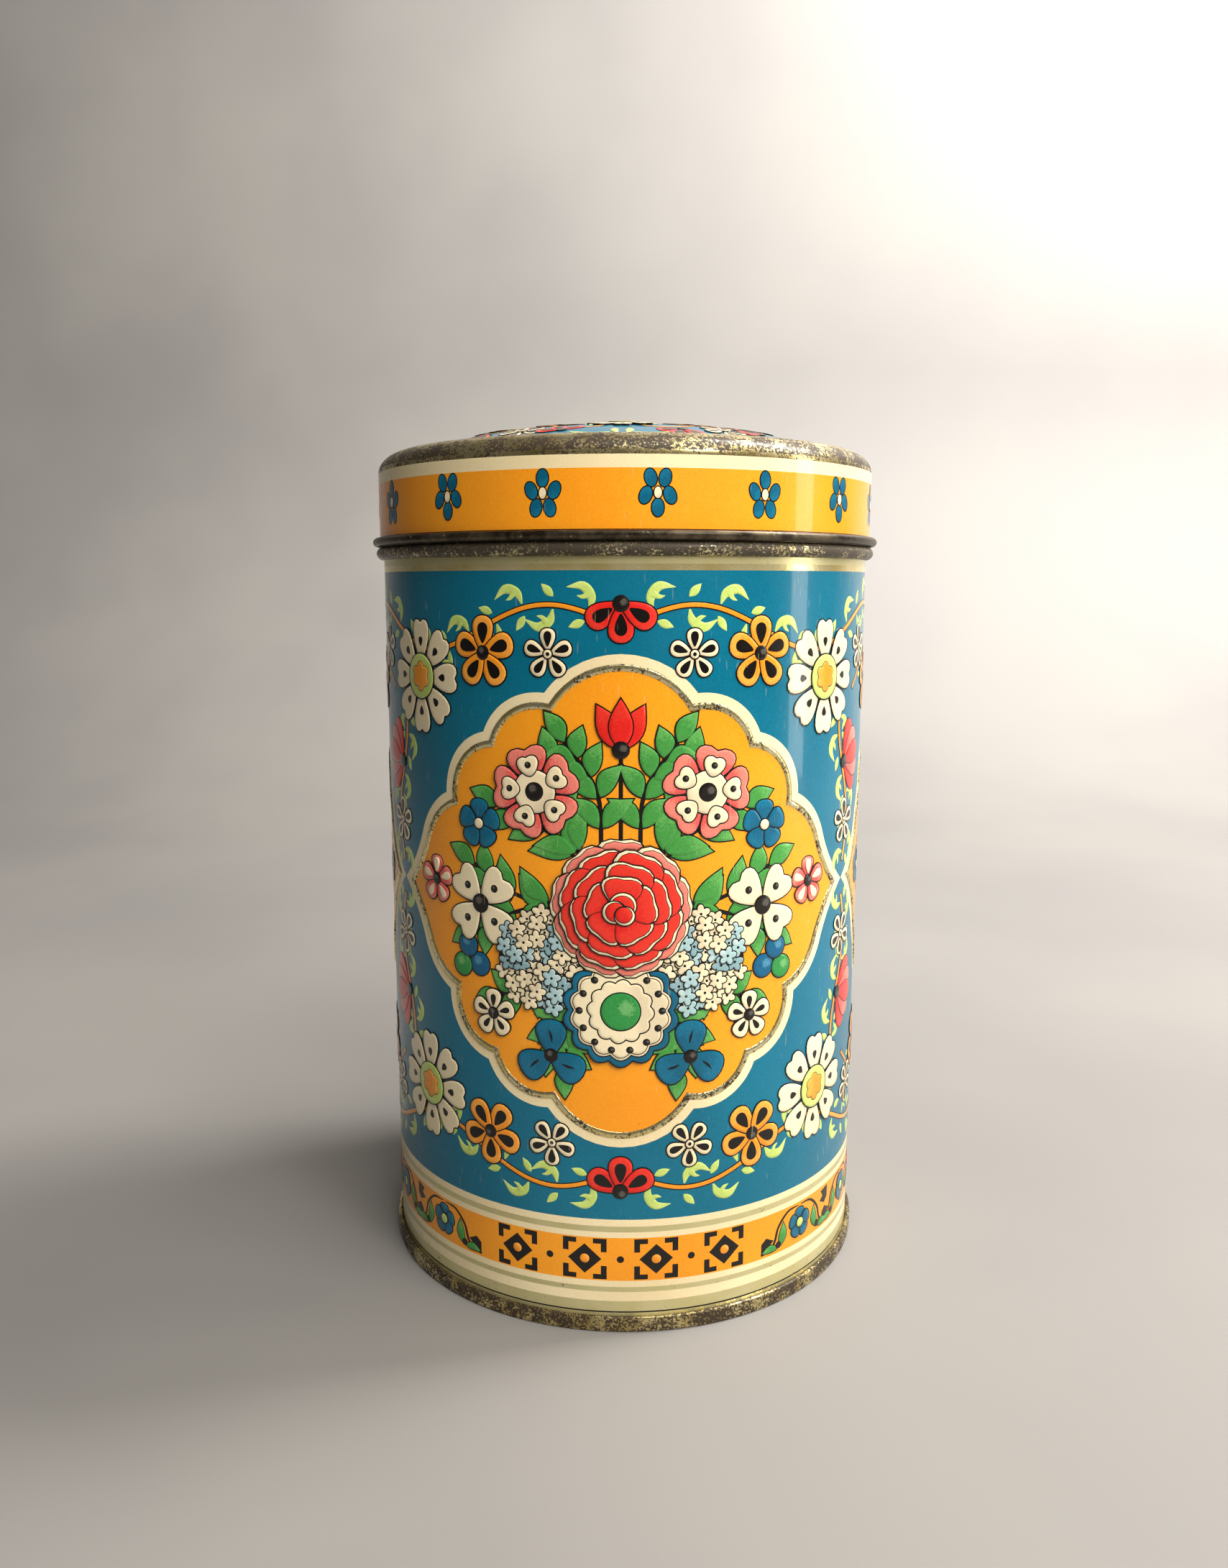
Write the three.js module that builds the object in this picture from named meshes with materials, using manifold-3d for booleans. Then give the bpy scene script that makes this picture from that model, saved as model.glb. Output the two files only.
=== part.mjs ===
// A round slip-lid tea tin, as a standalone three.js example.
// A rolled tinplate wall with a lock seam, a base rolled onto it by a double seam, and a drawn
// domed lid whose skirt slides over the neck and stops on a bead.
// Millimetres, +Z up. The origin is the centre of the base's underside, the front faces -Y and
// the wall's lock seam runs down the back, at LOCK_SEAM_TURN from +Y towards +X.

import * as THREE from 'three';
import { mergeVertices } from 'three/addons/utils/BufferGeometryUtils.js';
import Module from 'manifold-3d';

// Driving dimensions
const SHEET = 0.28; // thickness of the tinplate
const SEAM_GAP = 0.05; // air between the rolled layers of the double seam
const BODY_R = 50; // outside radius of the wall
const SEAM_HEIGHT = 3.07; // height of the double seam
const BEAD_Z = 146.21; // middle of the stop bead
const BEAD_DEPTH = 1.5; // how far the bead stands out of the wall
const BEAD_HALF_HEIGHT = 1.36;
const MOUTH_Z = 159.5; // top of the neck, inside the lid
const MOUTH_CURL_R = 0.55; // rolled edge of the mouth, on the sheet's middle
const LID_R = 50.7; // outside radius of the lid's skirt
const LID_CURL_R = 0.72; // rolled edge of the skirt, on the sheet's middle
const LID_BOTTOM_Z = 147.57;
const SHOULDER_Z = 162; // where the skirt turns into the shoulder
const RIM_R = 45.4; // crest between the shoulder and the domed top
const RIM_Z = 166;
const DOME_R = 43.25;
const DOME_EDGE_Z = 165.4;
const DOME_TOP_Z = 170.7;
const DOME_POWER = 3.5; // a flat middle with a steeper edge
const PANEL_Z = 3.5; // underside of the recessed base panel
const RING_R = 38; // middle of the base panel's stiffening ring
const RING_HALF_WIDTH = 2.4;
const RING_HEIGHT = 0.7;
const LOCK_SEAM_WIDTH = 5;
const LOCK_SEAM_DEPTH = 0.75; // how far the folded seam stands into the tin
const LOCK_SEAM_BOTTOM_Z = 5;
const LOCK_SEAM_TOP_Z = 143.5;
const LOCK_SEAM_TURN = 60; // degrees from +Y, towards +X
const SEGMENTS = 48; // facets round every turned piece, so nested pieces keep their gap

const HALF = SHEET / 2;
const PITCH = SHEET + SEAM_GAP; // from layer to layer in the double seam

const wasm = await Module();
wasm.setup();

// ---------------------------------------------------------------- outlines

const point = (r, z) => new THREE.Vector2(r, z);

// Points on an ellipse from one angle to another, in degrees.
function arc(r, z, radiusR, radiusZ, from, to, steps) {
  const points = [];
  for (let i = 0; i <= steps; i++) {
    const angle = THREE.MathUtils.degToRad(from + ((to - from) * i) / steps);
    points.push(point(r + radiusR * Math.cos(angle), z + radiusZ * Math.sin(angle)));
  }
  return points;
}

// The point beside path[i], half a sheet away, on the right (side 1) or the left (side -1).
function beside(path, i, side) {
  const from = Math.max(i - 1, 0);
  const to = Math.min(i + 1, path.length - 1);
  const arriving = path[Math.max(i, 1)].clone().sub(path[from]).normalize();
  const leaving = path[to].clone().sub(path[Math.min(i, to - 1)]).normalize();
  const middle = arriving.clone().add(leaving).normalize();
  const miter = HALF / middle.dot(arriving);
  return point(path[i].x + side * middle.y * miter, path[i].y - side * middle.x * miter);
}

// The closed outline of sheet metal that follows a middle line. A line that ends on the axis
// gives an outline that starts and ends there.
function sheetOutline(path) {
  const right = path.map((_, i) => beside(path, i, 1));
  const left = path.map((_, i) => beside(path, i, -1)).reverse();
  if (path[path.length - 1].x === 0) {
    right[right.length - 1].x = 0;
    left[0].x = 0;
    return [...left, ...right];
  }
  return [...right, ...left, right[0].clone()];
}

function turned(path) {
  return new THREE.LatheGeometry(sheetOutline(path), SEGMENTS).rotateX(Math.PI / 2);
}

// ---------------------------------------------------------------- joining

function toSolid(geometry) {
  const bare = geometry.index ? geometry.clone() : mergeVertices(geometry);
  bare.deleteAttribute('normal');
  bare.deleteAttribute('uv');
  const merged = mergeVertices(bare, 1e-4);
  const corners = merged.index.array;
  const kept = [];
  for (let i = 0; i < corners.length; i += 3) {
    const [a, b, c] = [corners[i], corners[i + 1], corners[i + 2]];
    if (a !== b && b !== c && c !== a) kept.push(a, b, c);
  }
  const vertProperties = new Float32Array(merged.attributes.position.array);
  return new wasm.Manifold(new wasm.Mesh({ numProp: 3, vertProperties, triVerts: new Uint32Array(kept) }));
}

function toGeometry(solid) {
  const mesh = solid.getMesh();
  const geometry = new THREE.BufferGeometry();
  geometry.setAttribute('position', new THREE.BufferAttribute(new Float32Array(mesh.vertProperties), 3));
  geometry.setIndex(new THREE.BufferAttribute(new Uint32Array(mesh.triVerts), 1));
  return geometry;
}

// ---------------------------------------------------------------- the pieces

// The wall: its foot is hooked outwards inside the double seam, a bead stops the lid, and the
// mouth is rolled inwards. A folded lock seam closes it at the back.
function bodyShell() {
  const r = BODY_R - HALF;
  const hookTurn = r + PITCH;
  const hookBottomZ = SHEET + SEAM_GAP + HALF + PITCH;
  const wall = [
    point(r + 2 * PITCH, SEAM_HEIGHT - HALF - PITCH - HALF - SEAM_GAP),
    ...arc(hookTurn, hookBottomZ, PITCH, PITCH, 0, -180, 4),
    ...arc(r, BEAD_Z, BEAD_DEPTH, BEAD_HALF_HEIGHT - HALF, -90, 90, 8),
    ...arc(r - MOUTH_CURL_R, MOUTH_Z - HALF - MOUTH_CURL_R, MOUTH_CURL_R, MOUTH_CURL_R, 0, 270, 8),
  ];
  const lockSeam = new THREE.BoxGeometry(
    LOCK_SEAM_WIDTH,
    LOCK_SEAM_DEPTH + HALF,
    LOCK_SEAM_TOP_Z - LOCK_SEAM_BOTTOM_Z,
  )
    .translate(0, r - (LOCK_SEAM_DEPTH + HALF) / 2, (LOCK_SEAM_TOP_Z + LOCK_SEAM_BOTTOM_Z) / 2)
    .rotateZ(-THREE.MathUtils.degToRad(LOCK_SEAM_TURN));
  return toGeometry(toSolid(turned(wall)).add(toSolid(lockSeam)));
}

// The base: a recessed panel with a stiffening ring, a wall that stands inside the tin's own,
// and the rolled layers that grip the wall's hook. Its flat underside is what the tin rests on.
function baseEnd() {
  const chuckR = BODY_R - HALF - PITCH;
  const hookR = chuckR + 2 * PITCH;
  const outerR = chuckR + 4 * PITCH;
  const corner = 0.3;
  const panelCorner = 0.6;
  const panelZ = PANEL_Z + HALF;
  const path = [
    point(hookR, SHEET + 2 * SEAM_GAP + 2 * PITCH),
    ...arc(hookR + PITCH, SEAM_HEIGHT - HALF - PITCH, PITCH, PITCH, 180, 0, 4),
    ...arc(outerR - corner, HALF + corner, corner, corner, 0, -90, 2),
    ...arc(chuckR + corner, HALF + corner, corner, corner, -90, -180, 2),
    ...arc(chuckR - panelCorner, panelZ - panelCorner, panelCorner, panelCorner, 0, 90, 2),
    point(RING_R + RING_HALF_WIDTH, panelZ),
    point(RING_R + RING_HALF_WIDTH / 2, panelZ + RING_HEIGHT),
    point(RING_R - RING_HALF_WIDTH / 2, panelZ + RING_HEIGHT),
    point(RING_R - RING_HALF_WIDTH, panelZ),
    point(0, panelZ),
  ];
  return turned(path);
}

// The lid: a rolled edge, a skirt, a rounded shoulder, a crest and a shallow groove round the
// domed top, drawn from one sheet.
function lidShell() {
  const r = LID_R - HALF;
  const curlZ = LID_BOTTOM_Z + HALF + LID_CURL_R;
  const shoulderDrop = RIM_Z - SHOULDER_Z;
  const dome = [];
  const domeSteps = 7;
  for (let i = 0; i <= domeSteps; i++) {
    const part = 1 - i / domeSteps;
    const rise = (DOME_TOP_Z - DOME_EDGE_Z) * (1 - part ** DOME_POWER);
    dome.push(point(DOME_R * part, DOME_EDGE_Z - HALF + rise));
  }
  const path = [
    ...arc(r + LID_CURL_R, curlZ, LID_CURL_R, LID_CURL_R, 95, -180, 9),
    ...arc(RIM_R, SHOULDER_Z - HALF, r - RIM_R, shoulderDrop, 0, 90, 7),
    point(DOME_R + 0.9, DOME_EDGE_Z - HALF - 0.1),
    ...dome,
  ];
  return turned(path);
}

// ---------------------------------------------------------------- the tin

const printedTin = new THREE.MeshStandardMaterial({ color: 0x1d6f9a, roughness: 0.35, metalness: 0.1 });
const bareTin = new THREE.MeshStandardMaterial({ color: 0x6b6350, roughness: 0.5, metalness: 0.9 });
const lidTin = new THREE.MeshStandardMaterial({ color: 0xe8922e, roughness: 0.35, metalness: 0.1 });

function named(name, geometry, material) {
  const mesh = new THREE.Mesh(geometry, material);
  mesh.name = name;
  return mesh;
}

const can = new THREE.Group();
can.add(named('body_shell', bodyShell(), printedTin));
can.add(named('base_end', baseEnd(), bareTin));

const lid = new THREE.Group();
lid.add(named('lid_shell', lidShell(), lidTin));

const tin = new THREE.Group();
tin.add(can, lid);

export default tin;
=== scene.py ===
"""Round slip-lid tea tin: rolled tinplate with printed flowers, worn gold lacquer and a domed lid.

The metal shells are turned round the tin's axis. The print is laid out flat in millimetres, each
colour as its own film of lacquer, then cut along the wall's facets and wrapped onto the metal.
"""

import cmath
import math

import bpy
import numpy as np
from bpy.props import FloatProperty, FloatVectorProperty, PointerProperty
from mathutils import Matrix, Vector


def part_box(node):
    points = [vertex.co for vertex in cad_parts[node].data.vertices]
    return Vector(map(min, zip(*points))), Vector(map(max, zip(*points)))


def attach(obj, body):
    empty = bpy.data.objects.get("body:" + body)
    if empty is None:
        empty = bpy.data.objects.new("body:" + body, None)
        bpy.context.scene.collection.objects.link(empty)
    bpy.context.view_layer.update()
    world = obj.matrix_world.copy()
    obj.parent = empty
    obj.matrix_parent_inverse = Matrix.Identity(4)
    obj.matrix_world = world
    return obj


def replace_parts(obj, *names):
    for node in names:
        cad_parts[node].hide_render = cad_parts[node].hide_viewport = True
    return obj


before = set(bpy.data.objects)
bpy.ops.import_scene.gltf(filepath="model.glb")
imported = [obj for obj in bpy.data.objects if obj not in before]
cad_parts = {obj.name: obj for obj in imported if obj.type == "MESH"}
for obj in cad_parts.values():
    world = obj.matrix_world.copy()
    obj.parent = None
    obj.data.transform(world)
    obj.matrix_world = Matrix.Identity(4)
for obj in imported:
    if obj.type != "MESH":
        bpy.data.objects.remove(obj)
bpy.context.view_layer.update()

bl_info = {
    "name": "Printed tea tin",
    "version": (1, 0, 0),
    "blender": (4, 5, 0),
    "location": "3D View > Sidebar > Tea tin",
    "description": "Builds a round slip-lid tea tin with printed flowers round its metal shells",
    "category": "Add Mesh",
}

MM = 0.001
FACETS = 144  # facets round the tin; every film of print is cut along the same lines


def in_mm(node, corner, axis):
    """One side of a CAD node's box in millimetres."""
    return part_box(node)[corner][axis] / MM


WALL_R = 50.0  # outside radius of the wall, inside the bead that its node's box takes in
SEAM_TOP = 3.07
SEAM_GAP = 0.05  # air between the rolled layers of the double seam
BEAD_HALF_HEIGHT = 1.36
MOUTH_CURL = 0.55  # rolled edge of the mouth, on the sheet's middle
LOCK_SEAM_REACH = (5.0, 143.5)
LOCK_SEAM_TURN = math.radians(60)  # from +Y towards +X
SEAM_LINE_FILMS = 7
BASE_PANEL_Z = 3.5
LID_R = 50.7
LID_CURL = 0.72
SHOULDER_Z = 162.0
RIM_R, RIM_Z = 45.4, 166.0  # crest between the shoulder and the domed top
DOME_R, DOME_EDGE_Z, DOME_POWER = 43.25, 165.4, 3.5
DOME_CUT = 1.5  # spacing of the cuts that let a film follow the dome
MOUTH_TOP = in_mm("body_shell", 1, 2)
LID_FOOT = in_mm("lid_shell", 0, 2)
LID_TOP = in_mm("lid_shell", 1, 2)


def linear(hex_colour):
    """An sRGB hex colour as linear red, green and blue."""
    channels = [int(hex_colour[i : i + 2], 16) / 255 for i in (1, 3, 5)]
    return [c / 12.92 if c <= 0.04045 else ((c + 0.055) / 1.055) ** 2.4 for c in channels]


def size_property(name, description, default):
    """A length in millimetres that a user may change."""
    return FloatProperty(name=name, description=description, default=default, min=0.0, precision=2)


def colour_property(name, description, default):
    """A lacquer's colour, given as an sRGB hex value."""
    return FloatVectorProperty(
        name=name, description=description, default=linear(default), size=3, subtype="COLOR", min=0.0, max=1.0
    )


class TeaTinSizes(bpy.types.PropertyGroup):
    """Sizes of the metal, in millimetres."""

    sheet: size_property("Sheet", "Thickness of the tinplate", 0.28)
    wall_radius: size_property("Wall radius", "Outside radius of the wall", WALL_R)
    seam_top: size_property("Seam height", "Height of the double seam at the base", SEAM_TOP)
    bead_middle: size_property("Bead height", "Middle of the stop bead that the lid rests on", 146.21)
    bead_depth: size_property("Bead depth", "How far the stop bead stands out of the wall", 1.5)
    mouth_top: size_property("Mouth height", "Top of the neck inside the lid", MOUTH_TOP)
    lid_radius: size_property("Lid radius", "Outside radius of the lid's skirt", LID_R)
    lid_foot: size_property("Lid foot", "Underside of the lid's rolled edge", LID_FOOT)
    lid_top: size_property("Lid top", "Top of the lid's dome", LID_TOP)
    film: size_property("Film", "Thickness of one film of print", 0.012)


class TeaTinColours(bpy.types.PropertyGroup):
    """Colours of the lacquers."""

    blue: colour_property("Ground blue", "Ground of the wall and the lid's dome", "#036A84")
    orange: colour_property("Ground orange", "Ground of the panels and the bands", "#F29C1E")
    cream: colour_property("Cream", "Edging lines and the ground of light bands", "#EBDBB0")
    gold: colour_property("Gold lacquer", "Gold lacquer over the tinplate", "#D0C68C")


# ---------------------------------------------------------------- flat shapes
# A point of the flat artwork is a complex number in millimetres: real to the right along the
# metal, imaginary up it. An outline is a list of such points. Its first point is the shape's
# foot and its middle one the tip, which the shading of the lacquers follows.

LEAF_BELLY = 0.45  # how far along a leaf is widest


def direction(degrees):
    return cmath.exp(1j * math.radians(degrees))


def unit(step):
    return step / abs(step) if step else step


def moved(outline, at=0, turn=0.0, scale=1.0):
    return [at + p * scale * direction(turn) for p in outline]


def disc(at, radius, points=24):
    """A round spot, with its foot at the lower left."""
    return [at + radius * direction(225 - 360 * i / points) for i in range(points)]


def petal(at, length, width, turn, fullness=0.5, notch=0.0, points=11):
    """A petal from its foot outwards, fullest towards the tip. A notch makes it a heart."""
    steps = [i / points for i in range(points + 1)]
    along = [length * ((1 - math.cos(math.pi * t)) / 2 - notch * t**8) for t in steps]
    across = [math.sin(math.pi * t) * (1 - fullness * math.cos(math.pi * t)) for t in steps]
    half = width / 2 / max(across)
    left = [complex(x, half * y) for x, y in zip(along, across)]
    right = [p.conjugate() for p in reversed(left[1:-1])]
    return moved(left + right, at, turn)


def smooth(stops, steps=5):
    """Points on a smooth curve through the stops, which may be complex or plain numbers."""
    ends = [2 * stops[0] - stops[1], *stops, 2 * stops[-1] - stops[-2]]
    curve = []
    for a, b, c, d in zip(ends, ends[1:], ends[2:], ends[3:]):
        for i in range(steps):
            t = i / steps
            curve.append(
                b
                + t * (c - a) / 2
                + t * t * (a - 2.5 * b + 2 * c - d / 2)
                + t**3 * (1.5 * (b - c) + (d - a) / 2)
            )
    return [*curve, stops[-1]]


def stroke(stops, widths, steps=5):
    """A brush stroke along a curve. Its width swells and thins from stop to stop."""
    middle = smooth(stops, steps)
    swell = smooth(widths, steps) if len(widths) > 1 else widths * len(middle)
    left, right = [], []
    for i, p in enumerate(middle):
        along = unit(middle[min(i + 1, len(middle) - 1)] - middle[max(i - 1, 0)])
        half = max(swell[i], 0) / 2
        if half < 0.01 and i in (0, len(middle) - 1):
            left.append(p)
            continue
        left.append(p + 1j * along * half)
        right.append(p - 1j * along * half)
    return left + right[::-1]


def leaf(foot, tip, width, bend=0.0):
    """A pointed leaf whose middle bends to the left of its way from foot to tip."""
    steps = 9
    skew = math.log(0.5) / math.log(LEAF_BELLY)
    across = 1j * unit(tip - foot)
    spine = [
        foot + (tip - foot) * i / steps + across * bend * math.sin(math.pi * i / steps)
        for i in range(steps + 1)
    ]
    halves = [width / 2 * math.sin(math.pi * (i / steps) ** skew) for i in range(steps + 1)]
    left = [p + across * h for p, h in zip(spine, halves)]
    right = [p - across * h for p, h in zip(spine[1:-1], halves[1:-1])]
    return left + right[::-1]


def scallops(at, radius, depth, count, turn=0.0):
    """A round shape whose edge is a row of equal bows."""
    points = count * 6
    outline = []
    for i in range(points):
        swell = abs(math.sin(count * math.pi * i / points))
        outline.append(at + (radius - depth + depth * swell) * direction(turn - 360 * i / points))
    return outline


def grow(outline, by):
    """The outline moved outwards by the same distance all round."""
    area = sum((a.conjugate() * b).imag for a, b in zip(outline, outline[1:] + outline[:1]))
    side = -1j if area > 0 else 1j
    grown = []
    for before, p, after in zip(outline[-1:] + outline[:-1], outline, outline[1:] + outline[:1]):
        arriving, leaving = unit(p - before), unit(after - p)
        along = unit(arriving + leaving) or arriving
        corner = max((along * arriving.conjugate()).real, 0.45)
        grown.append(p + side * along * by / corner)
    return grown


# ---------------------------------------------------------------- printed figures
# A figure is a list of (lacquer, outline, level). A higher level lies on top of a lower one.

LINE = 0.24  # width of the dark line round a printed shape
STEM_WIDTH = 0.8


def film(lacquer, outline, level):
    return [(lacquer, outline, level)]


def lined(lacquer, outline, level, line=LINE):
    """A shape with a dark line round it."""
    return [("black", grow(outline, line), level), (lacquer, outline, level + 0.001)]


def spot(at, radius, level, lacquer="black"):
    if lacquer == "black":
        # a dark spot takes the black_ball lacquer, which paints a grey highlight on it
        return film("black_ball", disc(at, radius), level + 0.5)
    return lined(lacquer, disc(at, radius), level)


def stem(stops, level):
    return film("black", stroke(stops, [STEM_WIDTH]), level)


def blossom(at, turns, length, width, lacquers, level, eye=(), start=0.6, inner=(0.62, 0.45)):
    """Petals round an eye. Each turn is a petal's direction; lacquers are its own and its inside's,
    and inner is the inside's length and width as shares of the petal's."""
    figure = []
    for i, turn in enumerate(turns):
        foot = at + start * direction(turn)
        lift = level + 0.05 * i
        figure += lined(lacquers[0], petal(foot, length - start, width, turn), lift)
        if len(lacquers) > 1:
            inside = at + (start + length * 0.16) * direction(turn)
            figure += film(lacquers[1], petal(inside, length * inner[0], width * inner[1], turn), lift + 0.9)
    for i, (lacquer, radius) in enumerate(eye):
        figure += spot(at, radius, level + 1.5 + i, lacquer)
    return figure


def around(count, first=90.0):
    """Directions of equal petals."""
    return [first + 360 * i / count for i in range(count)]


def stacked(figure):
    """The figure in the order of printing. Each level becomes a number of films: one more than the
    highest film that lies under the shape, so that no two films meet."""
    order = sorted(figure, key=lambda entry: entry[2])
    boxes = np.array([corners_of(outline) for _, outline, _ in order])
    films_under = np.zeros(len(order), int)
    for i in range(1, len(order)):
        x0, y0, x1, y1 = boxes[i]
        under = (boxes[:i, 0] < x1) & (boxes[:i, 2] > x0) & (boxes[:i, 1] < y1) & (boxes[:i, 3] > y0)
        films_under[i] = films_under[:i][under].max(initial=-1) + 1
    return [(ink, outline, int(count)) for (ink, outline, _), count in zip(order, films_under)]


def corners_of(outline):
    across, up = [p.real for p in outline], [p.imag for p in outline]
    return min(across), min(up), max(across), max(up)


def inset(outline, reach):
    """A ring of points inside an outline, as far in as the shape is wide enough for, and the way
    outwards at each point. It gives a printed shape its pressed, pillowy edge."""
    shape = np.array(outline)
    area = (shape.conj() * np.roll(shape, -1)).imag.sum()
    arriving, leaving = shape - np.roll(shape, 1), np.roll(shape, -1) - shape
    along = arriving / abs(arriving) + leaving / abs(leaving)
    inward = along / np.maximum(abs(along), 1e-9) * (1j if area > 0 else -1j)
    gaps = shape[None, :] - shape[:, None]
    ahead = (gaps * inward[:, None].conj()).real
    touching = np.where(ahead > 1e-6, abs(gaps) ** 2 / (2 * np.maximum(ahead, 1e-6)), np.inf)
    step = np.minimum(reach, 0.55 * touching.min(axis=1))
    return list(shape + inward * step), list(-inward * np.minimum(1, step / reach * 2.5))


def mirrored(figure, left_right, middle=0.0):
    """The figure in a mirror: across the line x = 0, or across the height of the middle."""
    if left_right:
        return [(ink, [-p.conjugate() for p in outline], level) for ink, outline, level in figure]
    return [(ink, [p.conjugate() + 2j * middle for p in outline], level) for ink, outline, level in figure]


def placed(figure, at=0, turn=0.0, scale=1.0):
    return [(ink, moved(outline, at, turn, scale), level) for ink, outline, level in figure]


# ---------------------------------------------------------------- the medallions
# A medallion's edge is a ring of bows: round lobes that meet in cusps, and an ogee to a tip on
# each side. All of it is worked out from one quarter and mirrored.

MIDDLE_Z = 82.5  # height of the medallions' middle above the tin's foot
QUARTER_SPAN = math.pi * WALL_R / 2  # from a big medallion's middle to a small one's
BIG_QUARTER = (12.3 + 35.2j, 23.9 + 28.4j, 32.5 + 17.1j, 41 + 9.6j, 47.5 + 0j)
BIG_BOWS = (7.3, 3.0, 3.4, 1.35, -0.6)  # how far each bow swells, the first one over the top
SMALL_QUARTER = (4.8 + 22.5j, 10.6 + 16.2j, 14.6 + 9.6j, 21.1 + 0j)
SMALL_BOWS = (2.0, 2.2, 0.3, -0.6)


def bow(a, b, swell):
    """Centre and radius of the arc from a to b that swells to the left of the way there. The
    radius is negative where it swells to the right."""
    half = abs(b - a) / 2
    radius = (half * half + swell * swell) / (2 * swell)
    return (a + b) / 2 - (radius - swell) * 1j * unit(b - a), radius


def meeting(first, second, near):
    """Where two circles cross, nearest to a point."""
    (c, r), (d, s) = first, second
    gap = abs(d - c)
    along = (gap * gap + r * r - s * s) / (2 * gap)
    height = math.sqrt(max(r * r - along * along, 0.0))
    options = [c + (along + side * 1j * height) * unit(d - c) for side in (1, -1)]
    return min(options, key=lambda p: abs(p - near))


def medallion(corners, swells, out, steps=14):
    """A medallion's outline, moved outwards by a distance, round its own middle."""
    first = complex(-corners[0].real, corners[0].imag)
    stops = [first, *corners]
    arcs = []
    for a, b, swell in zip(stops, stops[1:], swells):
        centre, radius = bow(a, b, swell)
        arcs.append((centre, abs(radius + out)))
    joints = []
    for i, stop in enumerate(stops[1:-1]):
        if i == len(corners) - 2:  # where the last lobe runs into the ogee
            joints.append(stop + out * unit(stop - arcs[i][0]))
        else:
            joints.append(meeting(arcs[i], arcs[i + 1], stop))
    centre, radius = arcs[-1]
    tip = complex(centre.real - math.sqrt(radius**2 - centre.imag**2), 0)
    ends = [-joints[0].conjugate(), *joints, tip]
    quarter = []
    for (centre, radius), a, b in zip(arcs, ends, ends[1:]):
        turn = cmath.phase((b - centre) / (a - centre))
        quarter += [centre + (a - centre) * direction(math.degrees(turn) * i / steps) for i in range(steps)]
    top = quarter[:steps]
    side = quarter[steps:] + [tip]
    right = side + [p.conjugate() for p in reversed(side[:-1])]
    bottom = [p.conjugate() for p in reversed(top[1:])]
    left = [-p.conjugate() for p in reversed(right)]
    return top + right + bottom + left


# ---------------------------------------------------------------- the bouquet
# Places are in millimetres from the medallion's middle line, and in height above the tin's foot.

BRANCHES = 14
BRANCH_REACH = 37 + 36j  # how far the bouquet reaches across and up from the medallion's middle
LEAF_SPLAY = 46  # degrees between a branch and its leaves
LEAF_LEVEL = 3


def sprig(stops, count, reach, width):
    """Leaves in pairs at even steps along a curve, growing smaller, and one at its end."""
    curve = smooth(stops, 8)
    shapes = []
    for i in range(count):
        k = round((len(curve) - 2) * (i + 1) / (count + 0.5))
        way = unit(curve[k + 1] - curve[k - 1])
        size = reach * (1 - 0.3 * i / count)
        for side in (1, -1):
            to = way * direction(side * LEAF_SPLAY)
            shapes.append(leaf(curve[k] + 0.5 * to, curve[k] + size * to, width, side * -0.1 * size))
    way = unit(curve[-1] - curve[-2])
    shapes.append(leaf(curve[-1], curve[-1] + 0.8 * reach * way, width, 0.04 * reach))
    return [entry for shape in shapes for entry in lined("green", shape, LEAF_LEVEL)]


def on_ring(turn, share=1.0):
    """A place on the oval that the bouquet reaches to, or at a share of the way there."""
    way = direction(turn)
    return MIDDLE_Z * 1j + share * complex(BRANCH_REACH.real * way.real, BRANCH_REACH.imag * way.imag)


def bouquet_branches():
    """The right half's branches, at even turns, that sway to one side and the other in turn."""
    figure = []
    for i, turn in enumerate(around(BRANCHES)[-6:]):
        sway = 9 * (-1) ** i
        stops = [on_ring(turn + sway, 0.2), on_ring(turn + sway, 0.5), on_ring(turn, 0.8)]
        figure += stem(stops, 2) + sprig(stops, 3, 8.4, 3.6)
    for turn in (72, -72):
        stops = [on_ring(turn, 0.3), on_ring(turn + 7, 0.6), on_ring(turn, 0.88)]
        figure += stem(stops, 2) + sprig(stops, 4, 8.0, 3.4)
    return figure


def heart_flower(at):
    """Five pink hearts round a cream middle with a dark eye."""
    figure = spot(at, 3.9, 5, "cream")
    for turn in around(5, 76):
        figure += lined("pink", petal(at + 2.3 * direction(turn), 6.5, 7.6, turn, 0.35, 0.2), 4 + turn / 1000)
        figure += lined("cream", petal(at + 2.9 * direction(turn), 3.9, 4.0, turn, 0.3, 0.16), 5.2, 0.22)
        figure += spot(at + 4.9 * direction(turn), 0.62, 6)
    return figure + spot(at, 1.75, 6.5)


def clover_flower(at):
    """Four cream hearts round a dark eye, each with its own spot."""
    figure = []
    for turn in around(4, 45):
        figure += lined("cream", petal(at + 0.5 * direction(turn), 8.2, 6.9, turn, 0.5, 0.2), 4 + turn / 1000)
        figure += spot(at + 4.4 * direction(turn), 0.75, 5)
    return figure + spot(at, 1.85, 6)


def bouquet_flowers():
    """The right half's flowers, round the oval from the top to the foot."""
    figure = heart_flower(on_ring(54, 0.72)) + clover_flower(on_ring(-2, 0.74))
    figure += blossom(on_ring(28, 0.84), around(5), 4.6, 3.9, ("blue",), 4, [("cream", 0.95)])
    figure += blossom(on_ring(3, 1.06), around(5), 4.6, 3.5, ("pink", "cream"), 4, [("black", 1.2)])
    eye = [("black", 1.2)]
    figure += blossom(on_ring(-42, 0.9), around(5), 4.6, 3.3, ("cream", "black"), 4, eye, inner=(0.5, 0.34))
    figure += berries(on_ring(-22, 0.88)) + three_petals(on_ring(-66, 0.86))
    return figure + cluster(on_ring(-37, 0.48), 9.4)


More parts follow.
